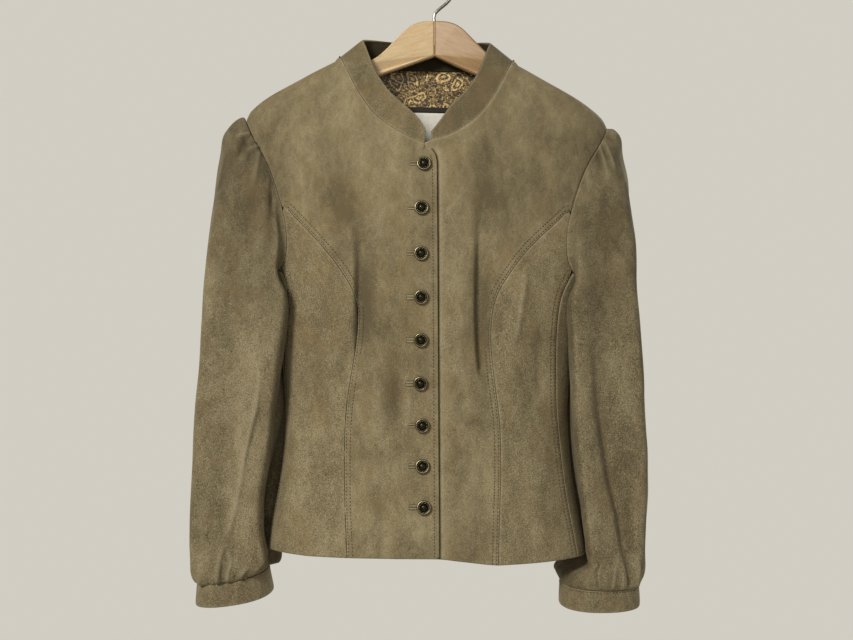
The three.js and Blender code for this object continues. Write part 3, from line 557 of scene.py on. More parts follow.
# %% Folds of the body
body_folds = folds(
    # beside the right princess seam: a lip that drops into a deep valley, whose floor
    # rises slowly, and the soft hollow above it
    (-7.5, (2.4, 16), (0.4, 0.3), (-85, -262), (-83.5, -311), (-83, -345), (-83, -380),
     (-84.5, -415), (-88, -445)),
    (-3.6, (18, 15), (0.5, 0.5), (-92, -195), (-96, -240), (-89, -300)),
    (2.2, (9, 13), (0.4, 0.4), (-60, -330), (-57, -390), (-60, -440)),
    # the swag from the waist, and the swell that it hangs round
    (-5.1, (10, 8), (0.35, 0.35), (-37, -405), (-41, -460), (-41, -503), (-54, -530), (-80, -537)),
    (4.4, (9, 10), (0.3, 0.3), (-60, -425), (-58, -481), (-66, -515)),
    (2.7, 9, (0.4, 0.1), (-70, -560), (-66, -610), (-66, -655)),
    (2.2, 8, (0.4, 0.1), (-45, -555), (-41, -600), (-43, -655)),
    (-2.0, 6, (0.4, 0.1), (-57, -575), (-54, -620), (-55, -655)),
    # right side front
    (-4.1, (10, 7), (0.25, 0.5), (-91, -415), (-98, -450), (-110, -486)),
    (2.4, 9, (0.3, 0.4), (-100, -400), (-108, -440), (-120, -470)),
    (2.7, 12, (0.4, 0.4), (-128, -360), (-126, -430), (-134, -500)),
    (-2.4, 10, (0.4, 0.2), (-112, -530), (-106, -580), (-106, -640)),
    # beside the left princess seam: a long lip whose valley ends sharply at the waist
    (-7.0, (2.4, 12), (0.5, 0.06), (48, -225), (46.5, -290), (46, -325), (45.5, -379), (46.7, -419),
     (50, -459)),
    (1.8, (12, 9), (0.4, 0.3), (34, -300), (30, -370), (32, -430)),
    (2.4, (5, 7), (0.4, 0.3), (60, -350), (58, -400), (56, -440)),
    (3.4, 8, (0.35, 0.35), (66, -510), (50, -501), (38, -480)),
    (-3.7, 7, (0.3, 0.35), (24, -472), (36, -497), (52, -516)),
    (3.2, (8, 7), (0.35, 0.35), (18, -440), (17, -475), (20, -508)),
    (-3.1, (12, 10), (0.4, 0.4), (54, -540), (55, -570), (50, -610)),
    (2.0, 9, (0.4, 0.1), (34, -560), (38, -600), (35, -655)),
    # left side front: a pinch, with one thin ridge that runs down to the waist
    (2.0, (2.2, 4.5), (0.15, 0.4), (98, -333), (97, -352), (93, -379), (89, -406), (84.5, -419),
     (79, -449)),
    (-1.6, (7, 6), (0.35, 0.35), (86, -345), (80, -385), (75, -420)),
    (1.2, 1.8, (0.4, 0.4), (66, -398), (67, -418)),
    (-3.2, (8, 10), (0.4, 0.4), (118, -385), (114, -450), (118, -500)),
    (2.0, 9, (0.4, 0.3), (100, -470), (90, -500), (74, -520)),
    (2.4, (11, 10), (0.4, 0.2), (120, -540), (112, -590), (116, -650)),
)
body_folds += folds(
    # the back falls in at the waist, and lies in slow waves below
    (-3.6, (13, 9), (0.45, 0.15), (-78, -240), (-70, -330), (-58, -420), (-54, -475)),
    (-4.0, (9, 13), (0.45, 0.15), (66, -235), (57, -320), (45, -410), (42, -470)),
    (-2.2, 9, (0.35, 0.35), (-36, -428), (-10, -450), (22, -438)),
    (1.6, 9, (0.35, 0.35), (-30, -462), (-6, -478), (18, -470)),
    (2.2, (14, 12), (0.4, 0.2), (-112, -470), (-97, -540), (-94, -640)),
    (-1.8, 11, (0.4, 0.2), (-60, -520), (-55, -580), (-58, -650)),
    (2.0, (12, 14), (0.4, 0.2), (94, -480), (86, -550), (88, -640)),
    (-1.8, (12, 11), (0.4, 0.2), (40, -530), (46, -590), (42, -650)),
    (1.2, 16, (0.4, 0.5), (-120, -150), (-80, -190), (-30, -200)),
    (1.2, 16, (0.4, 0.5), (110, -155), (75, -195), (28, -205)),
    front=False)

# %% Folds of the sleeves
right_sleeve_folds = folds(
    # head: a hollow under the puffed tip, with gathers that run from the seam
    (-5.5, 4.5, (0.15, 0.5), (-204, -193), (-211, -206), (-219, -224)),
    (2.4, 2.2, (0.1, 0.4), (-203, -190), (-210, -192), (-221, -195)),
    (2.4, 2, (0.1, 0.4), (-193, -204), (-199, -206), (-206, -209)),
    (1.8, 1.8, (0.1, 0.4), (-194, -198), (-200, -200), (-203, -204)),
    (-1.8, 1.8, (0.3, 0.3), (-197, -202), (-202, -203)),
    (-2.8, 3, (0.15, 0.5), (-198, -209), (-201, -218), (-203, -230)),
    (2.2, 2.6, (0.1, 0.5), (-192, -208), (-196, -230), (-198, -242), (-202, -260)),
    (-1.6, 7, (0.3, 0.6), (-205, -215), (-208, -240), (-212, -290)),
    (-3.8, 4.5, (0.15, 0.6), (-177, -247), (-182, -274), (-185, -289), (-187, -311), (-192, -330),
     (-196, -362)),
    (1.6, 2.2, (0.2, 0.5), (-180, -238), (-187, -252)),
    # arm: the long thin ridge, and a roll between it and the inner edge
    (3.4, (5, 3.6), (0.4, 0.08), (-186, -400), (-197, -491), (-205, -525), (-210, -546),
     (-217, -586), (-224, -618), (-231, -641)),
    (-1.6, 7, (0.4, 0.3), (-178, -440), (-190, -510), (-203, -590), (-212, -640)),
    (-1.6, 8, (0.4, 0.4), (-206, -420), (-218, -510), (-230, -575)),
    (-1.6, 12, (0.3, 0.5), (-228, -205), (-232, -250), (-236, -330)),
    (1.8, 12, (0.4, 0.4), (-235, -330), (-242, -430), (-247, -540)),
    # cuff: the ridge forks round a pocket, with more gathers on both sides
    (2.8, (2.2, 2), (0.2, 0.05), (-230, -639), (-234.5, -655), (-236, -669), (-237, -686)),
    (2.6, (2, 2.2), (0.2, 0.05), (-230, -644), (-226, -649), (-223, -659), (-226, -674),
     (-229, -686)),
    (-3.6, 2.4, (0.5, 0.02), (-230, -655), (-231, -686)),
    (1.5, 2.6, (0.4, 0.4), (-241, -645), (-247, -662)),
    (2.4, 2.4, (0.3, 0.05), (-249, -655), (-252, -666), (-255, -684)),
    (-2.4, 3, (0.5, 0.05), (-244, -660), (-245, -684)),
    (2.2, 2.2, (0.35, 0.05), (-209, -660), (-213, -672), (-216, -686)),
    (-2.2, 2.4, (0.5, 0.05), (-216, -664), (-219, -686)),
    (1.8, 3, (0.35, 0.05), (-197, -643), (-203, -668), (-206, -684)),
    (-3.0, 3, (0.4, 0.3), (-194, -648), (-194, -672)),
)
right_sleeve_folds += folds(
    # back of the arm
    (4.3, (14, 12), (0.3, 0.2), (-205, -250), (-212, -380), (-225, -520), (-230, -640)),
    (-4.1, (10, 8), (0.2, 0.5), (-190, -260), (-196, -340), (-206, -430)),
    (-3.8, 5, (0.1, 0.6), (-212, -176), (-218, -205), (-222, -240)),
    (-3.5, 5, (0.1, 0.6), (-200, -190), (-206, -222), (-208, -260)),
    (3.0, 4, (0.1, 0.6), (-206, -182), (-212, -212), (-214, -250)),
    (-4.3, 5, (0.4, 0.05), (-228, -610), (-225, -650), (-226, -684)),
    (-3.8, 5, (0.4, 0.05), (-243, -620), (-240, -684)),
    (-3.8, 5, (0.4, 0.05), (-212, -620), (-212, -684)),
    (3.0, 4, (0.4, 0.05), (-219, -630), (-219, -684)),
    (3.0, 4, (0.4, 0.05), (-235, -630), (-234, -684)),
    front=False)
left_sleeve_folds = folds(
    # head: gathers that fan out from the seam
    (2.4, 2.2, (0.1, 0.3), (186, -181), (193, -186), (200, -197)),
    (-2.8, 2.2, (0.1, 0.4), (186, -186), (193, -194), (199, -202)),
    (2.6, 2.2, (0.1, 0.45), (181, -190), (188, -203), (195, -222), (202, -243)),
    (-4.0, 2.6, (0.1, 0.5), (181, -194), (186, -206), (190, -224)),
    (2.4, 2.2, (0.1, 0.45), (179, -193), (183, -208), (187, -230), (189, -248)),
    (-3.4, 3, (0.1, 0.5), (178, -200), (180, -220), (182, -245)),
    (2.2, 3.2, (0.15, 0.45), (171, -203), (164, -222), (168, -245), (172, -272)),
    (-1.8, 7, (0.25, 0.5), (196, -205), (204, -235), (208, -275)),
    (-1.8, 7, (0.25, 0.4), (163, -235), (168, -265), (170, -330), (172, -385)),
    # arm: one long lip, pressed over the outer half of the sleeve
    (-5.0, (2.4, 12), (0.35, 0.02), (170, -395), (173, -443), (176, -491), (189, -570), (200, -611),
     (204, -638), (209, -660), (211, -686)),
    (1.8, (8, 3), (0.3, 0.1), (167, -430), (171, -491), (184, -570), (195, -611), (202, -650)),
    (3.0, 9, (0.3, 0.3), (155, -400), (160, -480), (168, -560), (176, -620)),
    (-1.6, 13, (0.4, 0.4), (208, -300), (214, -400), (222, -500)),
    (2.0, 10, (0.4, 0.3), (216, -480), (226, -560), (231, -620)),
    # cuff: one leaf-shaped tuck beside the lip, and smaller gathers
    (2.6, (2.2, 2), (0.25, 0.05), (203, -650), (197, -666), (192, -686)),
    (1.4, 2, (0.3, 0.05), (203, -652), (207, -666), (208, -684)),
    (-2.8, 2, (0.4, 0.02), (191, -665), (189, -686)),
    (-1.4, 2.6, (0.4, 0.05), (200, -662), (200, -686)),
    (1.8, 3, (0.4, 0.05), (180, -660), (179, -686)),
    (-2.0, 4, (0.4, 0.05), (172, -650), (172, -686)),
    (2.2, 2.6, (0.35, 0.05), (219, -650), (221, -686)),
    (-3.2, 2.6, (0.35, 0.05), (225, -655), (226, -684)),
)
left_sleeve_folds += folds(
    # back of the arm
    (4.1, (12, 14), (0.3, 0.2), (185, -255), (192, -380), (200, -520), (196, -650)),
    (-4.1, (8, 10), (0.2, 0.5), (172, -265), (176, -345), (184, -440)),
    (-3.8, 5, (0.1, 0.6), (188, -186), (194, -215), (198, -250)),
    (-3.5, 5, (0.1, 0.6), (180, -195), (184, -225), (186, -262)),
    (3.0, 4, (0.1, 0.6), (184, -190), (189, -220), (192, -255)),
    (-4.3, 5, (0.4, 0.05), (206, -610), (203, -650), (203, -686)),
    (-3.8, 5, (0.4, 0.05), (188, -620), (188, -686)),
    (-3.8, 5, (0.4, 0.05), (218, -620), (216, -686)),
    (3.0, 4, (0.4, 0.05), (196, -630), (195, -686)),
    (3.0, 4, (0.4, 0.05), (211, -630), (210, -686)),
    front=False)
print("folds", len(body_folds), "on the body,", len(right_sleeve_folds + left_sleeve_folds),
      "on the sleeves")

# %% [markdown]
# ## Shape the pieces
# Every piece is made the same way, so one function does it. A slow uneven swell goes
# over all of them, because a hide is never the same all over. The sleeves are fuller
# than the seams they are gathered into, so they bulge just beside them, and the tip of
# each head puffs up. Below its head a hanging sleeve lies flat in front, and its inner
# side swings a little behind the body.

# %% Where the sleeves hang beside the body
SIDES = ("right", "left")
SLEEVE_LOW, SLEEVE_TOP, INNER_TOP = -690, -180, -350  # heights in millimetres
BEHIND_MM = {"right": 20, "left": 14}  # how far the back of a sleeve goes behind the body
inner_lines = {  # the inner edge of each sleeve from the front, as (x, height) in mm
    "right": [(-163, -362), (-165, -395), (-168, -428), (-172, -461), (-175, -494), (-178, -527),
              (-184, -560), (-190, -593), (-191, -626), (-188, -648), (-182, -675)],
    "left": [(147, -362), (149, -406), (150, -444), (151, -483), (154, -527), (160, -571),
             (164, -615), (169, -642)],
}


def press_flat(places, from_armhole, power=7.0, depth=0.88):
    """Presses the front of a sleeve flat, as a hanging sleeve is: each ring goes from an
    ellipse towards a shallower rectangle with round corners. Gives how far each vertex
    is in front, from 0 at the middle to 1."""
    height = places[:, 2] / MM
    levels = np.arange(SLEEVE_LOW, SLEEVE_TOP, 10)
    rings = [places[np.abs(height - level) < 8] for level in levels]
    faces = [ring[ring[:, 1] < ring[:, 1].min() + 50 * MM] for ring in rings]
    left = np.interp(height, levels, [face[:, 0].min() for face in faces])
    right = np.interp(height, levels, [face[:, 0].max() for face in faces])
    front = np.interp(height, levels, [ring[:, 1].min() for ring in rings])
    back = np.interp(height, levels, [ring[:, 1].max() for ring in rings])
    u = (places[:, 0] - (left + right) / 2) / ((right - left) / 2)
    v = (places[:, 1] - (front + back) / 2) / ((back - front) / 2)
    grow = np.hypot(u, v) / (np.abs(u) ** power + np.abs(v) ** power + 1e-9) ** (1 / power)
    where = smooth(-v * 2.5) * smooth((from_armhole - 3) / 45)
    where *= smooth((height - SLEEVE_LOW) / 50)
    where *= smooth((-225 - height) / 90)
    grow = (np.clip(grow, 1, 1.3) - 1) * where
    places[:, 0] += 0.9 * u * grow * (right - left) / 2  # a bit less, to stay on the line
    places[:, 1] += v * (grow - (1 - depth) * where) * (back - front) / 2
    return np.clip(-v, 0, 1)


def hang_beside_body(side, places, normals, from_armhole):
    """Draws the inner edge of a sleeve to its line and swings its back behind the body.
    All distances here are in millimetres, and x runs towards the body."""
    towards = 1 if side == "right" else -1
    height, x = places[:, 2] / MM, towards * places[:, 0] / MM
    levels = np.arange(SLEEVE_LOW, INNER_TOP, 10)
    deep = places[:, 1] / MM
    edge = [x[(np.abs(height - level) < 7) & (deep < -35)].max() for level in levels]
    line, heights = zip(*reversed(inner_lines[side]))
    wanted = np.interp(levels, heights, towards * np.array(line))
    step = np.interp(height, levels, wanted - edge)
    from_edge = np.interp(height, levels, edge) - x
    front = smooth(1 - from_edge / 32) * smooth((-16 - deep) / 20)
    step *= front * smooth(from_armhole / 30) * smooth((height + 685) / 25)
    low = smooth((-370 - height) / 70) * smooth((height + 700) / 50)
    behind = BEHIND_MM[side] * low * smooth((deep + 15) / 18)
    inner = smooth(towards * normals[:, 0] * 1.6)
    places[:, 0] += towards * MM * (step + inner * behind)
    places[:, 1] -= 0.4 * MM * np.clip(step, 0, 10)


# %% Slide the right side seam back
def slide_back(raw, names, slide_mm=24.0, reach_mm=45.0, armhole_low=-0.345):
    """Slides the seam between two sheets backwards along their own surface, until the
    sleeve hides it. The armhole and the other seams stay where they are."""
    corners, faces = [], []
    for name in names:
        faces += [[len(corners) + i for i in face.vertices] for face in raw[name].polygons]
        corners += [v.co.copy() for v in raw[name].vertices]
    surface = BVHTree.FromPolygons(corners, faces)
    edges = {name: points_along(raw[name], border_edges(raw[name])) for name in names}
    trees = {name: tree_of_points(edges[name]) for name in names}
    seam = [p for p in edges[names[0]] if trees[names[1]].find(p)[2] < 3 * MM]
    for name in names:
        places = places_of(raw[name])
        near = smooth(1 - distances_mm(seam, places) / reach_mm)
        amount = slide_mm * MM * near * smooth((armhole_low - places[:, 2]) / 0.05)
        for index in np.flatnonzero(amount):
            arm = Vector(places[index]) - BODY_AXIS
            turn = Matrix.Rotation(-amount[index] / arm.xy.length, 3, "Z")
            places[index] = surface.find_nearest(BODY_AXIS + turn @ arm)[0]
        move_to(raw[name], places)


# %% Make one piece
CLOTH_MM, BAND_MM = 1.8, 2.4  # walls of the panels and sleeves, of the collar and cuffs
# middle of each puffed sleeve head, and its radius, in millimetres
HEAD_PUFFS = {"right": ((-222, -25, -196), 14), "left": ((204, -25, -190), 15)}
PUFF_MM, BULGE_MM, BULGE_REACH_MM, LOW_SLEEVE_BACK_MM, SWELL_SIZE_MM = 6.5, 3.4, 9, 11, 22
HALF_WAY = -0.5  # a height between a sleeve's two ends, in metres
raw, sheets = {}, {}


def swell(places, height_mm):
    """A slow uneven wave, which depends on the place, so neighbours share it."""
    x, y, z = (places / (SWELL_SIZE_MM * MM)).T
    wave = np.sin(x * 1.3 + 1.7 * np.sin(z * 0.9)) + np.sin(z * 1.1 + 1.9 * np.sin(x * 0.8 + y))
    return height_mm * 0.5 * wave


def marks_of(given, places, normals, ridges):
    """How pale the sharp ridges are rubbed, with a painted highlight, or how dark the sharp
    valleys are, with dirt and painted shade: a high or deep fold is marked more, and only
    along its middle."""
    sharp = []
    for one in given:
        width = min(one["sides"])
        if ridges and one["height"] > 1.9 and width <= 3.6:
            sharp.append({**one, "height": 0.085 * one["height"], "sides": (2.2, 2.2)})
        elif not ridges and one["height"] < -2.7 and width <= 4.5:
            sides = tuple(0.62 * min(side, 4) for side in one["sides"])
            sharp.append({**one, "height": -0.055 * one["height"], "sides": sides})
    return np.clip(fold_heights(sharp, places, normals), 0, 0.4)


def shape_piece(name, given, swell_mm=0.5):
    """Pushes the given folds into a rounded pattern piece."""
    mesh = raw[name]
    places, normals = places_of(mesh), normals_of(mesh)
    keep(mesh, ridge=marks_of(given, places, normals, True),
         crease=marks_of(given, places, normals, False))
    height = fold_heights(given, places, normals) + swell(places, swell_mm)
    if "sleeve" in name:
        side = name.split("_")[0]
        border = points_along(mesh, border_edges(mesh))
        from_cuff = distances_mm([p for p in border if p.z < HALF_WAY], places)
        from_armhole = distances_mm([p for p in border if p.z > HALF_WAY], places)
        near = from_cuff / BULGE_REACH_MM
        height += BULGE_MM * near * np.exp(1 - near)
        height *= smooth(from_armhole / 6)
        hang_beside_body(side, places, normals, from_armhole)
        in_front = press_flat(places, from_armhole)
        low = smooth((-250 * MM - places[:, 2]) / (90 * MM)) * smooth(from_armhole / 55)
        places[:, 1] += LOW_SLEEVE_BACK_MM * MM * in_front * low * smooth(from_cuff / 40)
        tip, width = HEAD_PUFFS[side]
        puff = np.exp(-(np.linalg.norm(places / MM - tip, axis=1) / width) ** 2)
        height += PUFF_MM * puff * smooth(from_armhole / 5)
    move_to(mesh, places + normals * (height * MM)[:, None])
    sheets[name] = mesh


panels = [f"{side}_{part}" for side in SIDES
          for part in ("front", "side_front", "side_back", "back")]
for name in panels:
    raw[name] = smooth_sheet(name, CLOTH_MM)
slide_back(raw, ["right_side_front", "right_side_back"])
for name in panels:
    shape_piece(name, body_folds)
for side, given in (("right", right_sleeve_folds), ("left", left_sleeve_folds)):
    raw[f"{side}_sleeve"] = smooth_sheet(f"{side}_sleeve", CLOTH_MM, rings=True)
    shape_piece(f"{side}_sleeve", given)
    raw[f"{side}_cuff"] = smooth_sheet(f"{side}_cuff", BAND_MM)
    shape_piece(f"{side}_cuff", [], swell_mm=0.2)
raw["collar"] = smooth_sheet("collar", BAND_MM)
shape_piece("collar", [], swell_mm=0.25)
print("pieces", len(sheets), "vertices", sum(len(m.vertices) for m in sheets.values()))

# %% [markdown]
# ## Sew the seams
# At a seam two pieces meet, so each border is drawn to its neighbour's, and the cloth
# beside it follows. Two body panels meet half way. The body comes to the collar and to
# the taped armhole, whose ring is first smoothed, and a gathered sleeve comes to its
# cuff, because those edges are the firmer ones. A softer edge goes a little under a
# firmer one, and every edge dips, as cloth that is turned in does.

# %% Draw the borders together
FIRMNESS = {"collar": 4, "cuff": 4, "sleeve": 3}  # a panel of the body has 2
TUCK_MM, DIP_MM = 0.6, 0.4  # how far an edge goes under a firmer one, and how far it dips
JUST_OVER_HALF = 0.54  # the share of the way that equal edges go, so that they overlap
CORNER_REACH_MM, FOLLOW_MM, FAR_MM = 7, 12, 60.0
borders = {name: border_edges(mesh) for name, mesh in sheets.items()}


def ease_armhole(name, rounds=16, reach_mm=12.0, middle=-0.235):
    """Smooths a sleeve's upper border below its middle, so the armhole has no kinks."""
    places, mates = places_of(sheets[name]), {}
    for pair in borders[name]:
        if places[pair[0], 2] > HALF_WAY:
            for vert, mate in (pair, pair[::-1]):
                mates.setdefault(vert, []).append(mate)
    ring = list(mates)
    sides = [[ring.index(mate) for mate in mates[vert]] for vert in ring]
    eased = places[ring]
    for _ in range(rounds):
        eased = (eased + eased[sides].mean(axis=1)) / 2
    tree = tree_of_points([Vector(place) for place in places[ring]])
    shift = (eased - places[ring]) * smooth((middle - places[ring, 2:]) / 0.03)
    for index, place in enumerate(places.copy()):
        _, found, gap = tree.find(place)
        if gap < reach_mm * MM:
            places[index] += shift[found] * smooth(1 - gap / (reach_mm * MM))
    move_to(sheets[name], places)


for side in SIDES:
    ease_armhole(f"{side}_sleeve")
before = {name: points_along(mesh, borders[name], 0.5) for name, mesh in sheets.items()}
search = {name: tree_of_points(points) for name, points in before.items()}


def firmness(name):
    return FIRMNESS.get(name.split("_")[-1], 2)


def seam_moves(name, reach_mm=9.0):
    """How far each border vertex at a seam goes. A corner goes to both its neighbours."""
    mesh, ends = sheets[name], {}
    for a, b in borders[name]:
        ends.setdefault(a, []).append(b)
        ends.setdefault(b, []).append(a)
    moves = {}
    for index, others in ends.items():
        place = mesh.vertices[index].co
        first, last = (mesh.vertices[others[i]].co - place for i in (0, -1))
        tangent = (first - last).normalized()
        corner = first.normalized().dot(last.normalized()) > -0.7
        near = []
        for other, tree in search.items():
            if other == name:
                continue
            found, _, gap = tree.find(place)
            way = found - place
            beside = corner or abs(way.dot(tangent)) < max(0.8 * MM, 0.6 * gap)
            if beside and gap < (CORNER_REACH_MM if corner else reach_mm) * MM:
                mine, theirs = firmness(name), firmness(other)
                move = way * (JUST_OVER_HALF if mine == theirs else 0.0)
                if mine < theirs:
                    move = way + way.normalized() * TUCK_MM * MM
                near.append((gap, move))
        near.sort(key=lambda one: one[0])
        if near:
            moves[index] = sum((move for _, move in near[:2 if corner else 1]), Vector())
    return moves


all_moves = {name: seam_moves(name) for name in sheets}
seam_points, free_points = {}, {}
for name, mesh in sheets.items():
    places, normals = places_of(mesh), normals_of(mesh)
    moves = all_moves[name]
    if moves:
        order = list(moves)
        tree = tree_of_points([mesh.vertices[i].co for i in order])
        for index, vertex in enumerate(mesh.vertices):
            _, found, gap = tree.find(vertex.co)
            if gap < FOLLOW_MM * MM:
                weight = float(smooth(1 - gap / (FOLLOW_MM * MM)))
                places[index] += np.array(moves[order[found]]) * weight
    sewn = [pair for pair in borders[name] if pair[0] in moves and pair[1] in moves]
    loose = [pair for pair in borders[name] if pair not in set(sewn)]
    move_to(mesh, places)
    seam_points[name] = points_along(mesh, sewn)
    free_points[name] = points_along(mesh, loose)
    seam = distances_mm(seam_points[name], places)
    free = distances_mm(free_points[name], places)
    dip = DIP_MM * np.exp(-((seam / 1.6) ** 2)) + DIP_MM * np.exp(-((free / 1.5) ** 2))
    move_to(mesh, places - normals * (dip * MM)[:, None])
    keep(mesh, seam_mm=seam, free_mm=free, sewn_mm=FAR_MM)
print("sewn borders", {name: len(points) for name, points in seam_points.items()})

# %% [markdown]
# ## How the nap lies
# Suede shows every hand that touched it. Stroked one way a patch goes dark, and stroked
# the other way it goes pale, with soft edges. The patches here are listed: dark on the
# sleeve heads and on the collar, pale where the hem and the lower right sleeve were
# brushed. Over the bust, where the cloth sinks in beside the princess seams and at the
# waist, the dark patches in the valleys are painted shade and the pale ones on the swells
# are painted highlight. The inner side of each lower sleeve, which faces the body, gets
# painted shade, and the collar gets more painted shade towards +X. The fibres also stand
# up more on the sides and sleeves than on the chest, which is worn smooth.

# %% Stroke the nap
EVEN = 0.11  # the tone of nap that nobody stroked
LAP_X = -0.004  # the right front's free edge lies on the +X side of this
# stroked nap; the dark patches in the fold valleys and the pale ones on the swells beside them are
# painted shade and highlight
stroked_patches = [  # x and height of the middle, half width and half height in mm, change
    (-107, -261, 24, 36, -0.11), (-97, -281, 11, 18, -0.16),
    (-75, -372, 9, 50, -0.27), (53, -385, 7, 60, -0.16), (-48, -370, 26, 60, -0.09),
    (-50, -468, 17, 28, -0.09), (-120, -395, 26, 90, -0.05), (-62, -220, 30, 30, 0.05),
    (55, -250, 13, 42, -0.12), (134, -201, 28, 24, -0.06), (92, -255, 40, 55, -0.06),
    (24, -400, 14, 60, 0.05), (98, -400, 26, 60, -0.04), (62, -580, 30, 40, 0.05),
    (-35, -610, 30, 30, 0.04), (-100, -600, 40, 40, 0.03), (10, -640, 40, 14, -0.04),
    (-205, -250, 46, 90, -0.17), (-226, -200, 14, 30, -0.08), (-212, -530, 26, 110, 0.12),
    (-236, -600, 12, 60, -0.07), (186, -280, 46, 120, -0.13), (172, -520, 18, 110, 0.03),
    (212, -560, 18, 90, -0.07), (70, -235, 60, 60, -0.05), (-62, -498, 11, 24, 0.10),
    (-42, -490, 7, 36, -0.13), (-72, -541, 22, 7, -0.09), (44, -508, 11, 7, -0.10),
    (28, -485, 10, 26, 0.07), (190, -560, 30, 110, -0.05), (66, -380, 9, 45, -0.06),
]
for name, mesh in sheets.items():
    places, normals = places_of(mesh), normals_of(mesh)
    height = places[:, 2]
    across = places[:, 0] / MM * np.where(normals[:, 1] > 0.1, -1, 1)
    tone = np.full(len(places), EVEN)
    for x, z, half_width, half_height, change in stroked_patches:
        tone += change * np.exp(-((across - x) / half_width) ** 2
                                - ((height / MM - z) / half_height) ** 2)
    standing = 0.3 + 0.3 * smooth((-0.2 - height) / 0.25)
    if name == "collar":
        # the collar is stroked darker, and darker still towards +X as painted shade on the side
        # away from the key lamp
        tone -= 0.08 + 0.11 * smooth(places[:, 0] / 0.04 + 0.5)
        standing += 0.25
    elif "side" in name or "cuff" in name:
        standing += 0.3
    elif "sleeve" in name:
        standing += 0.1 + 0.25 * smooth((-0.3 - height) / 0.2)
        # painted shade: the inner side of the lower sleeve, which faces the body, is darkened
        inner = smooth((-np.sign(places[:, 0]) * normals[:, 0] - 0.3) / 0.4)
        tone -= 0.15 * inner * smooth((-0.3 - height) / 0.1)
    keep(mesh, stroke=tone, nap=np.clip(standing, 0, 1))
under_lap = distances_mm([Vector((p.x, 0, p.z)) for p in free_points["right_front"]
                          if p.x > LAP_X], places_of(sheets["left_front"]) * (1, 0, 1))
seam = distances_mm(seam_points["left_front"], places_of(sheets["left_front"]))
# the front that lies under gets a narrow line of painted shadow and dirt where the lap ends
keep(sheets["left_front"], seam_mm=np.minimum(seam, 0.05 + 0.24 * under_lap))
print("stroked patches", len(stroked_patches))


# %% Find the seam between two pieces
def shared_border(name, other, reach_mm=2.0):
    """The seam points of one piece that lie beside another piece."""
    tree = tree_of_points(seam_points[other])
    return [p for p in seam_points[name] if tree.find(p)[2] < reach_mm * MM]


stitched = {}
for side in SIDES:
    for name, panel, other in (("princess", "front", "side_front"),
                               ("side", "side_front", "side_back"),
                               ("back_panel", "back", "side_back")):
        points = shared_border(f"{side}_{panel}", f"{side}_{other}")
        stitched[f"{side}_{name}"] = (f"{side}_{panel}", points)
for piece in {piece for piece, _ in stitched.values()}:
    near = [p for other, points in stitched.values() if other == piece for p in points]
    keep(sheets[piece], sewn_mm=distances_mm(near, places_of(sheets[piece])))
print("stitched seams", {name: len(points) for name, (_, points) in stitched.items()})


# %% Give a piece its thickness and its place in the scene
def add_piece(name, mesh, materials, replaces=(), thickness_mm=None):
    """Puts a finished mesh in the scene, riding on the jacket's one body."""
    piece = add_object(name, mesh)
    mesh.materials.clear()
    for material in materials:
        mesh.materials.append(material)
    mesh.shade_smooth()
    if thickness_mm:
        wall = piece.modifiers.new("thickness", "SOLIDIFY")
        wall.thickness, wall.offset = thickness_mm * MM, -1
        wall.use_even_offset = False
        if len(materials) > 1:
            wall.material_offset = 1
    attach(piece, "root")
    if replaces:
        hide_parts(*replaces)
    return piece


# %% Dress the body
SHEET_MM, CUFF_MM, COLLAR_MM = 1.5, 2.0, 2.2  # suede with its lining
# the side panels differ, because the right side seam was slid back
for side in SIDES:
    for part in ("front", "side_front", "side_back", "back", "sleeve", "cuff"):
        node = f"{side}_{part}"
        on_arm = part in ("sleeve", "cuff")
        outer = sleeve_suede if on_arm else body_suede
        piece = add_piece(node + "_suede", sheets[node], [outer, lining],
                          [node],
                          CUFF_MM if part == "cuff" else SHEET_MM)
collar = add_piece("collar_suede", sheets["collar"], [body_suede, shaded_facing_suede],
                   ["collar"], COLLAR_MM)

# %% [markdown]
# ## Inside the neck
# The lining of the back shows above the front neckline, with a ribbon loop to hang the
# jacket by and a woven label under it. The label is left bare.

# %% Ribbon and label materials
def ribbed_cloth(name, pitch_mm, direction, dark, light):
    """A small woven thing whose ribs run across it."""
    material, add = new_material(name, Roughness=0.75, Sheen_Weight=0.1)
    place = add("TexCoord", out="Object")
    ribs = add("TexWave", {"Vector": place, "Scale": 1 / (3.2 * pitch_mm * MM),
                           "Distortion": 0.4}, out="Fac", bands_direction=direction)
    soil = add("TexNoise", {"Vector": place, "Scale": 1 / 0.006}, out="Fac")
    tone = add("Math", [ribs, 0.5, soil], operation="MULTIPLY_ADD")
    add("ValToRGB", {"Fac": tone}, stops=[(0.3, dark), (1.0, light)], to="Base Color")
    add("Bump", {"Height": ribs, "Distance": 0.2 * MM, "Strength": 0.6}, out="Normal",
        to="Normal")
    return material


ribbon = ribbed_cloth("grosgrain_ribbon", 0.8, "X", "#14100B", "#2E251B")
label_cloth = ribbed_cloth("woven_cotton_label", 0.6, "Z", "#D8D2C4", "#F0ECE2")

# %% Lining, loop and label
def inside_piece(node, thickness_mm, material):
    """A small cloth in the neck, made from the inner face of its wall."""
    mesh = smooth_sheet(node, thickness_mm, 2, inner=True)
    piece = add_piece(node + "_cloth", mesh, [material], [node], thickness_mm * 0.8)
    return piece


inside_piece("back_lining", 1.0, lining)
inside_piece("hanging_loop", 1.4, ribbon)
inside_piece("neck_label", 1.0, label_cloth)
print("inside pieces", 3)

# %% [markdown]
# ## Buttons
# The buttons are cast in a pewter-like metal, blackened and then rubbed, so that what
# stands proud is brighter and the grooves stay dark. A half profile spun about its axis
# gives the raised rim, the groove and the dome, and a ring of beads stands in the
# groove. One mesh serves all nine: it is copied to each place on the front.

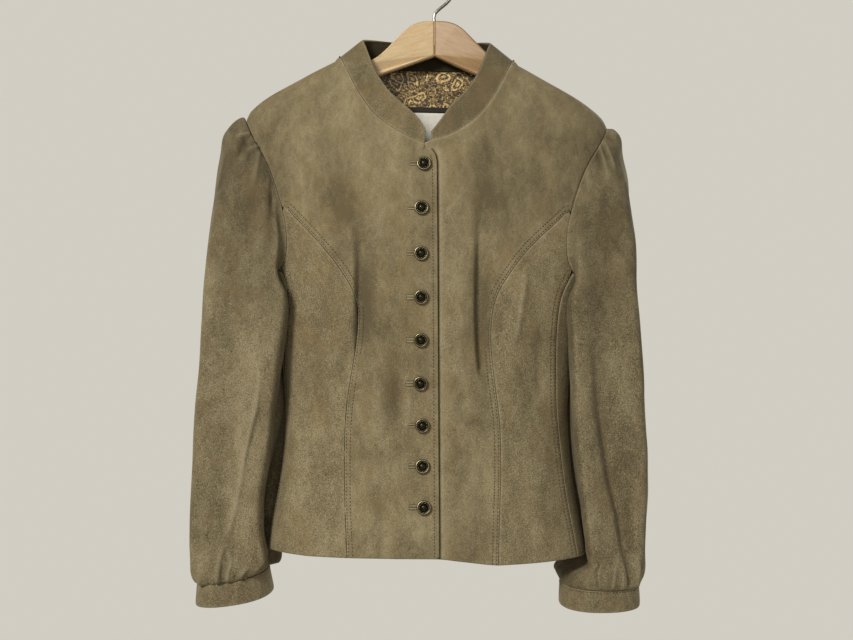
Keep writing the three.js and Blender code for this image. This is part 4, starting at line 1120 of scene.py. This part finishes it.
# %% Antique metal
button_metal, add = new_material("antiqued_pewter", Metallic=0.75, Roughness=0.3)
place = add("TexCoord", out="Object")
patina = add("TexNoise", {
    "Vector": place, "Scale": 1 / 0.0013, "Detail": 3.0, "Roughness": 0.7}, out="Fac")
relief = add("Attribute", out="Fac", attribute_name="relief")
tone = add("Math", [relief, 0.62], operation="MULTIPLY")
tone = add("Math", [patina, 0.5, tone], operation="MULTIPLY_ADD")
add("ValToRGB", {"Fac": tone}, stops=[(0.2, "#16130B"), (0.5, "#38321F"), (0.8, "#8B8161")],
    to="Base Color")
add("Bump", {"Height": patina, "Distance": 0.15 * MM, "Strength": 0.8}, out="Normal",
    to="Normal")


# %% One button
def button_mesh():
    """A button that lies in XY at the origin and faces +Z, in metres."""
    bm = bmesh.new()
    profile = [(0.0, 0.0), (7.4, 0.0), (7.9, 0.5), (7.9, 1.0), (7.3, 1.6), (6.5, 1.75),
               (5.9, 1.5), (5.5, 0.9), (4.5, 0.8), (4.2, 1.6), (3.7, 2.5), (2.5, 3.4),
               (1.3, 3.85), (0.0, 4.0)]
    corners = [bm.verts.new((r * MM, 0, h * MM)) for r, h in profile]
    for a, b in zip(corners, corners[1:]):
        bm.edges.new((a, b))
    bmesh.ops.spin(bm, geom=bm.verts[:] + bm.edges[:], cent=(0, 0, 0), axis=(0, 0, 1),
                   angle=2 * math.pi, steps=40, use_merge=True)
    bmesh.ops.remove_doubles(bm, verts=bm.verts, dist=0.001 * MM)
    bmesh.ops.recalc_face_normals(bm, faces=bm.faces)
    for count, ring, radius, height in ((18, 5.0, 0.72, 1.1), (8, 2.5, 0.6, 3.2)):
        for i in range(count):
            turn = 2 * math.pi * (i + 0.5) / count
            bmesh.ops.create_icosphere(
                bm, subdivisions=1, radius=radius * MM, matrix=Matrix.Translation(
                    (ring * MM * math.cos(turn), ring * MM * math.sin(turn), height * MM)))
    mesh = finished(bm, "button")
    heights = places_of(mesh)[:, 2] / MM
    radii = np.linalg.norm(places_of(mesh)[:, :2], axis=1) / MM
    rim = np.exp(-((radii - 6.9) / 0.8) ** 2) * (heights > 1.2)
    beads = smooth((heights - 1.2) / 0.5) * (radii > 4.4) * (radii < 5.7)
    dome = smooth((heights - 3.2) / 1.2) * 0.35
    keep(mesh, relief=np.clip(rim + beads + dome, 0, 1))
    return mesh


BUTTONS = range(1, 10)  # from the collar down
BUTTON_UP_MM = 1.9  # a button sits on its shank, this far off the front
one_button = button_mesh()


def surface_of(name):
    mesh = sheets[name]
    return BVHTree.FromPolygons([v.co.copy() for v in mesh.vertices],
                                [p.vertices[:] for p in mesh.polygons])


right_front = surface_of("right_front")


def button_place(number):
    """The middle of a button, from its solid."""
    low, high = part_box(f"button_{number}")
    return (Vector(low) + Vector(high)) / 2


for number in BUTTONS:
    near, normal, _, _ = right_front.find_nearest(button_place(number))
    turn = normal.to_track_quat("Z", "Y").to_matrix().to_4x4()
    mesh = one_button.copy()
    mesh.transform(Matrix.Translation(near + normal * BUTTON_UP_MM * MM) @ turn)
    add_piece(f"button_{number}_cast", mesh, [button_metal], [f"button_{number}"])
print("faces in a button", len(one_button.polygons))

# %% [markdown]
# ## Piped buttonholes
# A buttonhole in suede is bound with two narrow folded strips, the welts, that meet in
# a slit. Each is a little grid laid on the front: its rows rise into two soft humps,
# dip between them to the slit, and go down into the front at all four sides.

# %% Buttonholes
def buttonhole(number, length=19.0, height=5.6, aside=6.5, sunk=0.4, rise=1.4):
    """Two welts beside a button, in millimetres: their rim is sunk, their humps rise."""
    centre = button_place(number) - Vector((aside * MM, 0, 0))
    bm = bmesh.new()
    bmesh.ops.create_grid(bm, x_segments=24, y_segments=20, size=0.5)
    depth = []
    for vert in bm.verts:
        u, v = vert.co.x * 2, vert.co.y * 2
        start = Vector((centre.x + u * length / 2 * MM, -0.2, centre.z + v * height / 2 * MM))
        near, normal, _, _ = right_front.ray_cast(start, Vector((0, 1, 0)))
        hump = abs(math.sin(math.pi * v)) ** 0.6
        ends = min(1, (1 - abs(u)) * 8)
        vert.co = near + normal * (-sunk + rise * hump * ends) * MM
        to_line = min(abs(v), 1 - abs(v), (1 - abs(u)) * length / height) * height / 2
        depth.append(0.15 + 0.5 * to_line)
    bmesh.ops.recalc_face_normals(bm, faces=bm.faces)
    mesh = finished(bm, f"buttonhole_{number}")
    keep(mesh, seam_mm=depth, free_mm=FAR_MM, sewn_mm=FAR_MM, stroke=EVEN, nap=0.3)
    return mesh


for number in BUTTONS:
    add_piece(f"buttonhole_{number}", buttonhole(number), [body_suede],
              thickness_mm=0.5)
print("buttonholes", len(BUTTONS))

# %% [markdown]
# ## Topstitching
# Two rows of thread hold each seam's allowances flat, and one row holds the front edge
# and each edge of the cuffs. A stitch is a short bead of thread that dives into the
# leather at both ends, three millimetres from hole to hole. All the stitches of a row
# are one mesh.

# %% Thread
thread, add = new_material("polyester_thread_with_hole_shade", Roughness=0.6)
place = add("TexCoord", out="Object")
ply = add("TexNoise", {"Vector": place, "Scale": 1 / 0.0015}, out="Fac")
# the thread is dark brown, and drawn darker still as painted shade of the needle holes it sinks
# into
add("ValToRGB", {"Fac": ply}, stops=[(0.3, "#241E13"), (0.7, "#453C2A")], to="Base Color")
NECK_EDGE = -0.214  # the row on the front edge stops at this height, below the collar


def stitch_mesh(length_mm=2.2, radius_mm=0.42, dive_mm=0.55):
    """One stitch along X, arched so that its ends go into the leather."""
    bm = bmesh.new()
    bmesh.ops.create_cone(bm, cap_ends=True, segments=6, radius1=radius_mm * MM,
                          radius2=radius_mm * MM, depth=length_mm * MM,
                          matrix=Matrix.Rotation(math.pi / 2, 4, "Y"))
    half = length_mm * MM / 2
    long_edges = [e for e in bm.edges if abs(e.verts[0].co.x - e.verts[1].co.x) > half]
    bmesh.ops.subdivide_edges(bm, edges=long_edges, cuts=2)
    for vert in bm.verts:
        vert.co.z -= dive_mm * MM * abs(vert.co.x / half) ** 3
    return finished(bm, "stitch")


one_stitch = stitch_mesh()


def evenly(points, step_mm):
    """Orders the points of a seam from one end to the other, at even steps."""
    tree, used = tree_of_points(points), set()
    here = max(points, key=lambda p: p.z + abs(p.x) * 0.01)
    line = [here]
    while True:
        near = [(gap, i) for _, i, gap in tree.find_range(here, 6 * MM) if i not in used]
        used.update(i for gap, i in near if gap < step_mm * MM)
        ahead = [points[i] for gap, i in near if gap >= step_mm * MM]
        if not ahead:
            return line
        here = min(ahead, key=lambda p: (p - here).length)
        line.append(here)


def stitch_row(name, piece, line, offset_mm, pitch_mm=3.0):
    """Sews a row on a piece, beside a line and this far from it."""
    surface = surface_of(piece)
    bm, count = bmesh.new(), 0
    spaced = evenly(line, pitch_mm)
    for a, b in zip(spaced, spaced[1:]):
        spot, normal, _, _ = surface.find_nearest((a + b) / 2)
        along = (b - a).normalized()
        across = normal.cross(along).normalized() * offset_mm * MM
        near, facing, _, gap = min((surface.find_nearest(spot + across),
                                    surface.find_nearest(spot - across)), key=lambda hit: hit[3])
        if gap > 1.2 * MM or (b - a).length > 2 * pitch_mm * MM:
            continue
        x_axis = (along - facing * along.dot(facing)).normalized()
        turn = Matrix((x_axis, facing.cross(x_axis), facing)).transposed().to_4x4()
        start = len(bm.verts)
        bm.from_mesh(one_stitch)
        bm.verts.ensure_lookup_table()
        bmesh.ops.transform(bm, verts=bm.verts[start:],
                            matrix=Matrix.Translation(near + facing * 0.1 * MM) @ turn)
        count += 1
    add_piece(name, finished(bm, name), [thread])
    return count


total = 0
for name, (piece, points) in stitched.items():
    for row, offset_mm in (("near", 2.0), ("far", 6.5)):
        total += stitch_row(f"thread_{name}_{row}", piece, points, offset_mm)
front_edge = [p for p in free_points["right_front"] if p.x > LAP_X and p.z < NECK_EDGE]
total += stitch_row("thread_front_edge", "right_front", front_edge, 5.0)
for side in SIDES:
    cuff = f"{side}_cuff"
    for row, points in (("low", free_points[cuff]), ("high", seam_points[cuff])):
        total += stitch_row(f"thread_{cuff}_{row}", cuff, points, 2.5)
print("stitches", total)

# %% [markdown]
# ## Hanger
# The hanger is beech, sawn from two boards of different colour that meet in the middle,
# sanded and varnished. Beech has a straight fine grain with short dark flecks. Its
# solids have the right shape, so they stay, and only get the wood and the bright drawn
# steel of the hook.

# %% Wood
def beech(name, light, dark, lean):
    """Varnished beech whose grain runs along an arm that leans by this many degrees."""
    material, add = new_material(name, Roughness=0.45, Coat_Weight=0.12, Coat_Roughness=0.35)
    place = add("TexCoord", out="Object")
    turned = add("Mapping", {"Vector": place, "Rotation": (0, math.radians(lean), 0)})
    board = add("Mapping", {"Vector": turned, "Scale": (0.08, 1, 1)})
    grain = add("TexNoise", {
        "Vector": board, "Scale": 1 / 0.0032, "Detail": 5.0, "Roughness": 0.6,
        "Distortion": 0.4}, out="Fac")
    short = add("Mapping", {"Vector": turned, "Scale": (0.3, 1, 1)})
    fleck = add("TexNoise", {"Vector": short, "Scale": 1 / 0.0009}, out="Fac")
    colour = add("ValToRGB", {"Fac": grain}, stops=[(0.3, dark), (0.7, light)])
    flecks = add("ValToRGB", {"Fac": fleck}, stops=[(0.62, 0.0), (0.7, 0.35)])
    add("Mix", {0: flecks, 6: colour, 7: "#8A6138"}, out=2, data_type="RGBA", to="Base Color")
    add("Bump", {"Height": grain, "Distance": 0.12 * MM, "Strength": 0.4}, out="Normal",
        to="Normal")
    return material


# %% Hook wire
steel, add = new_material("drawn_steel_wire", Metallic=1.0, Roughness=0.32)
place = add("TexCoord", out="Object")
drawn = add("TexNoise", {"Vector": place, "Scale": 1 / 0.001, "Detail": 2.0}, out="Fac")
add("ValToRGB", {"Fac": drawn}, stops=[(0.3, "#6F6D69"), (0.7, "#9A9893")], to="Base Color")

# %% Give the hanger its materials
hanger = {"hanger_right_arm": beech("pale_beech", "#DCC299", "#C9AB80", 20),
          "hanger_left_arm": beech("dark_beech", "#AB8A60", "#96744C", -26),
          "hanger_hook": steel}
for node, material in hanger.items():
    nodes[node].data.materials.clear()
    nodes[node].data.materials.append(material)
print("hanger", [material.name for material in hanger.values()])
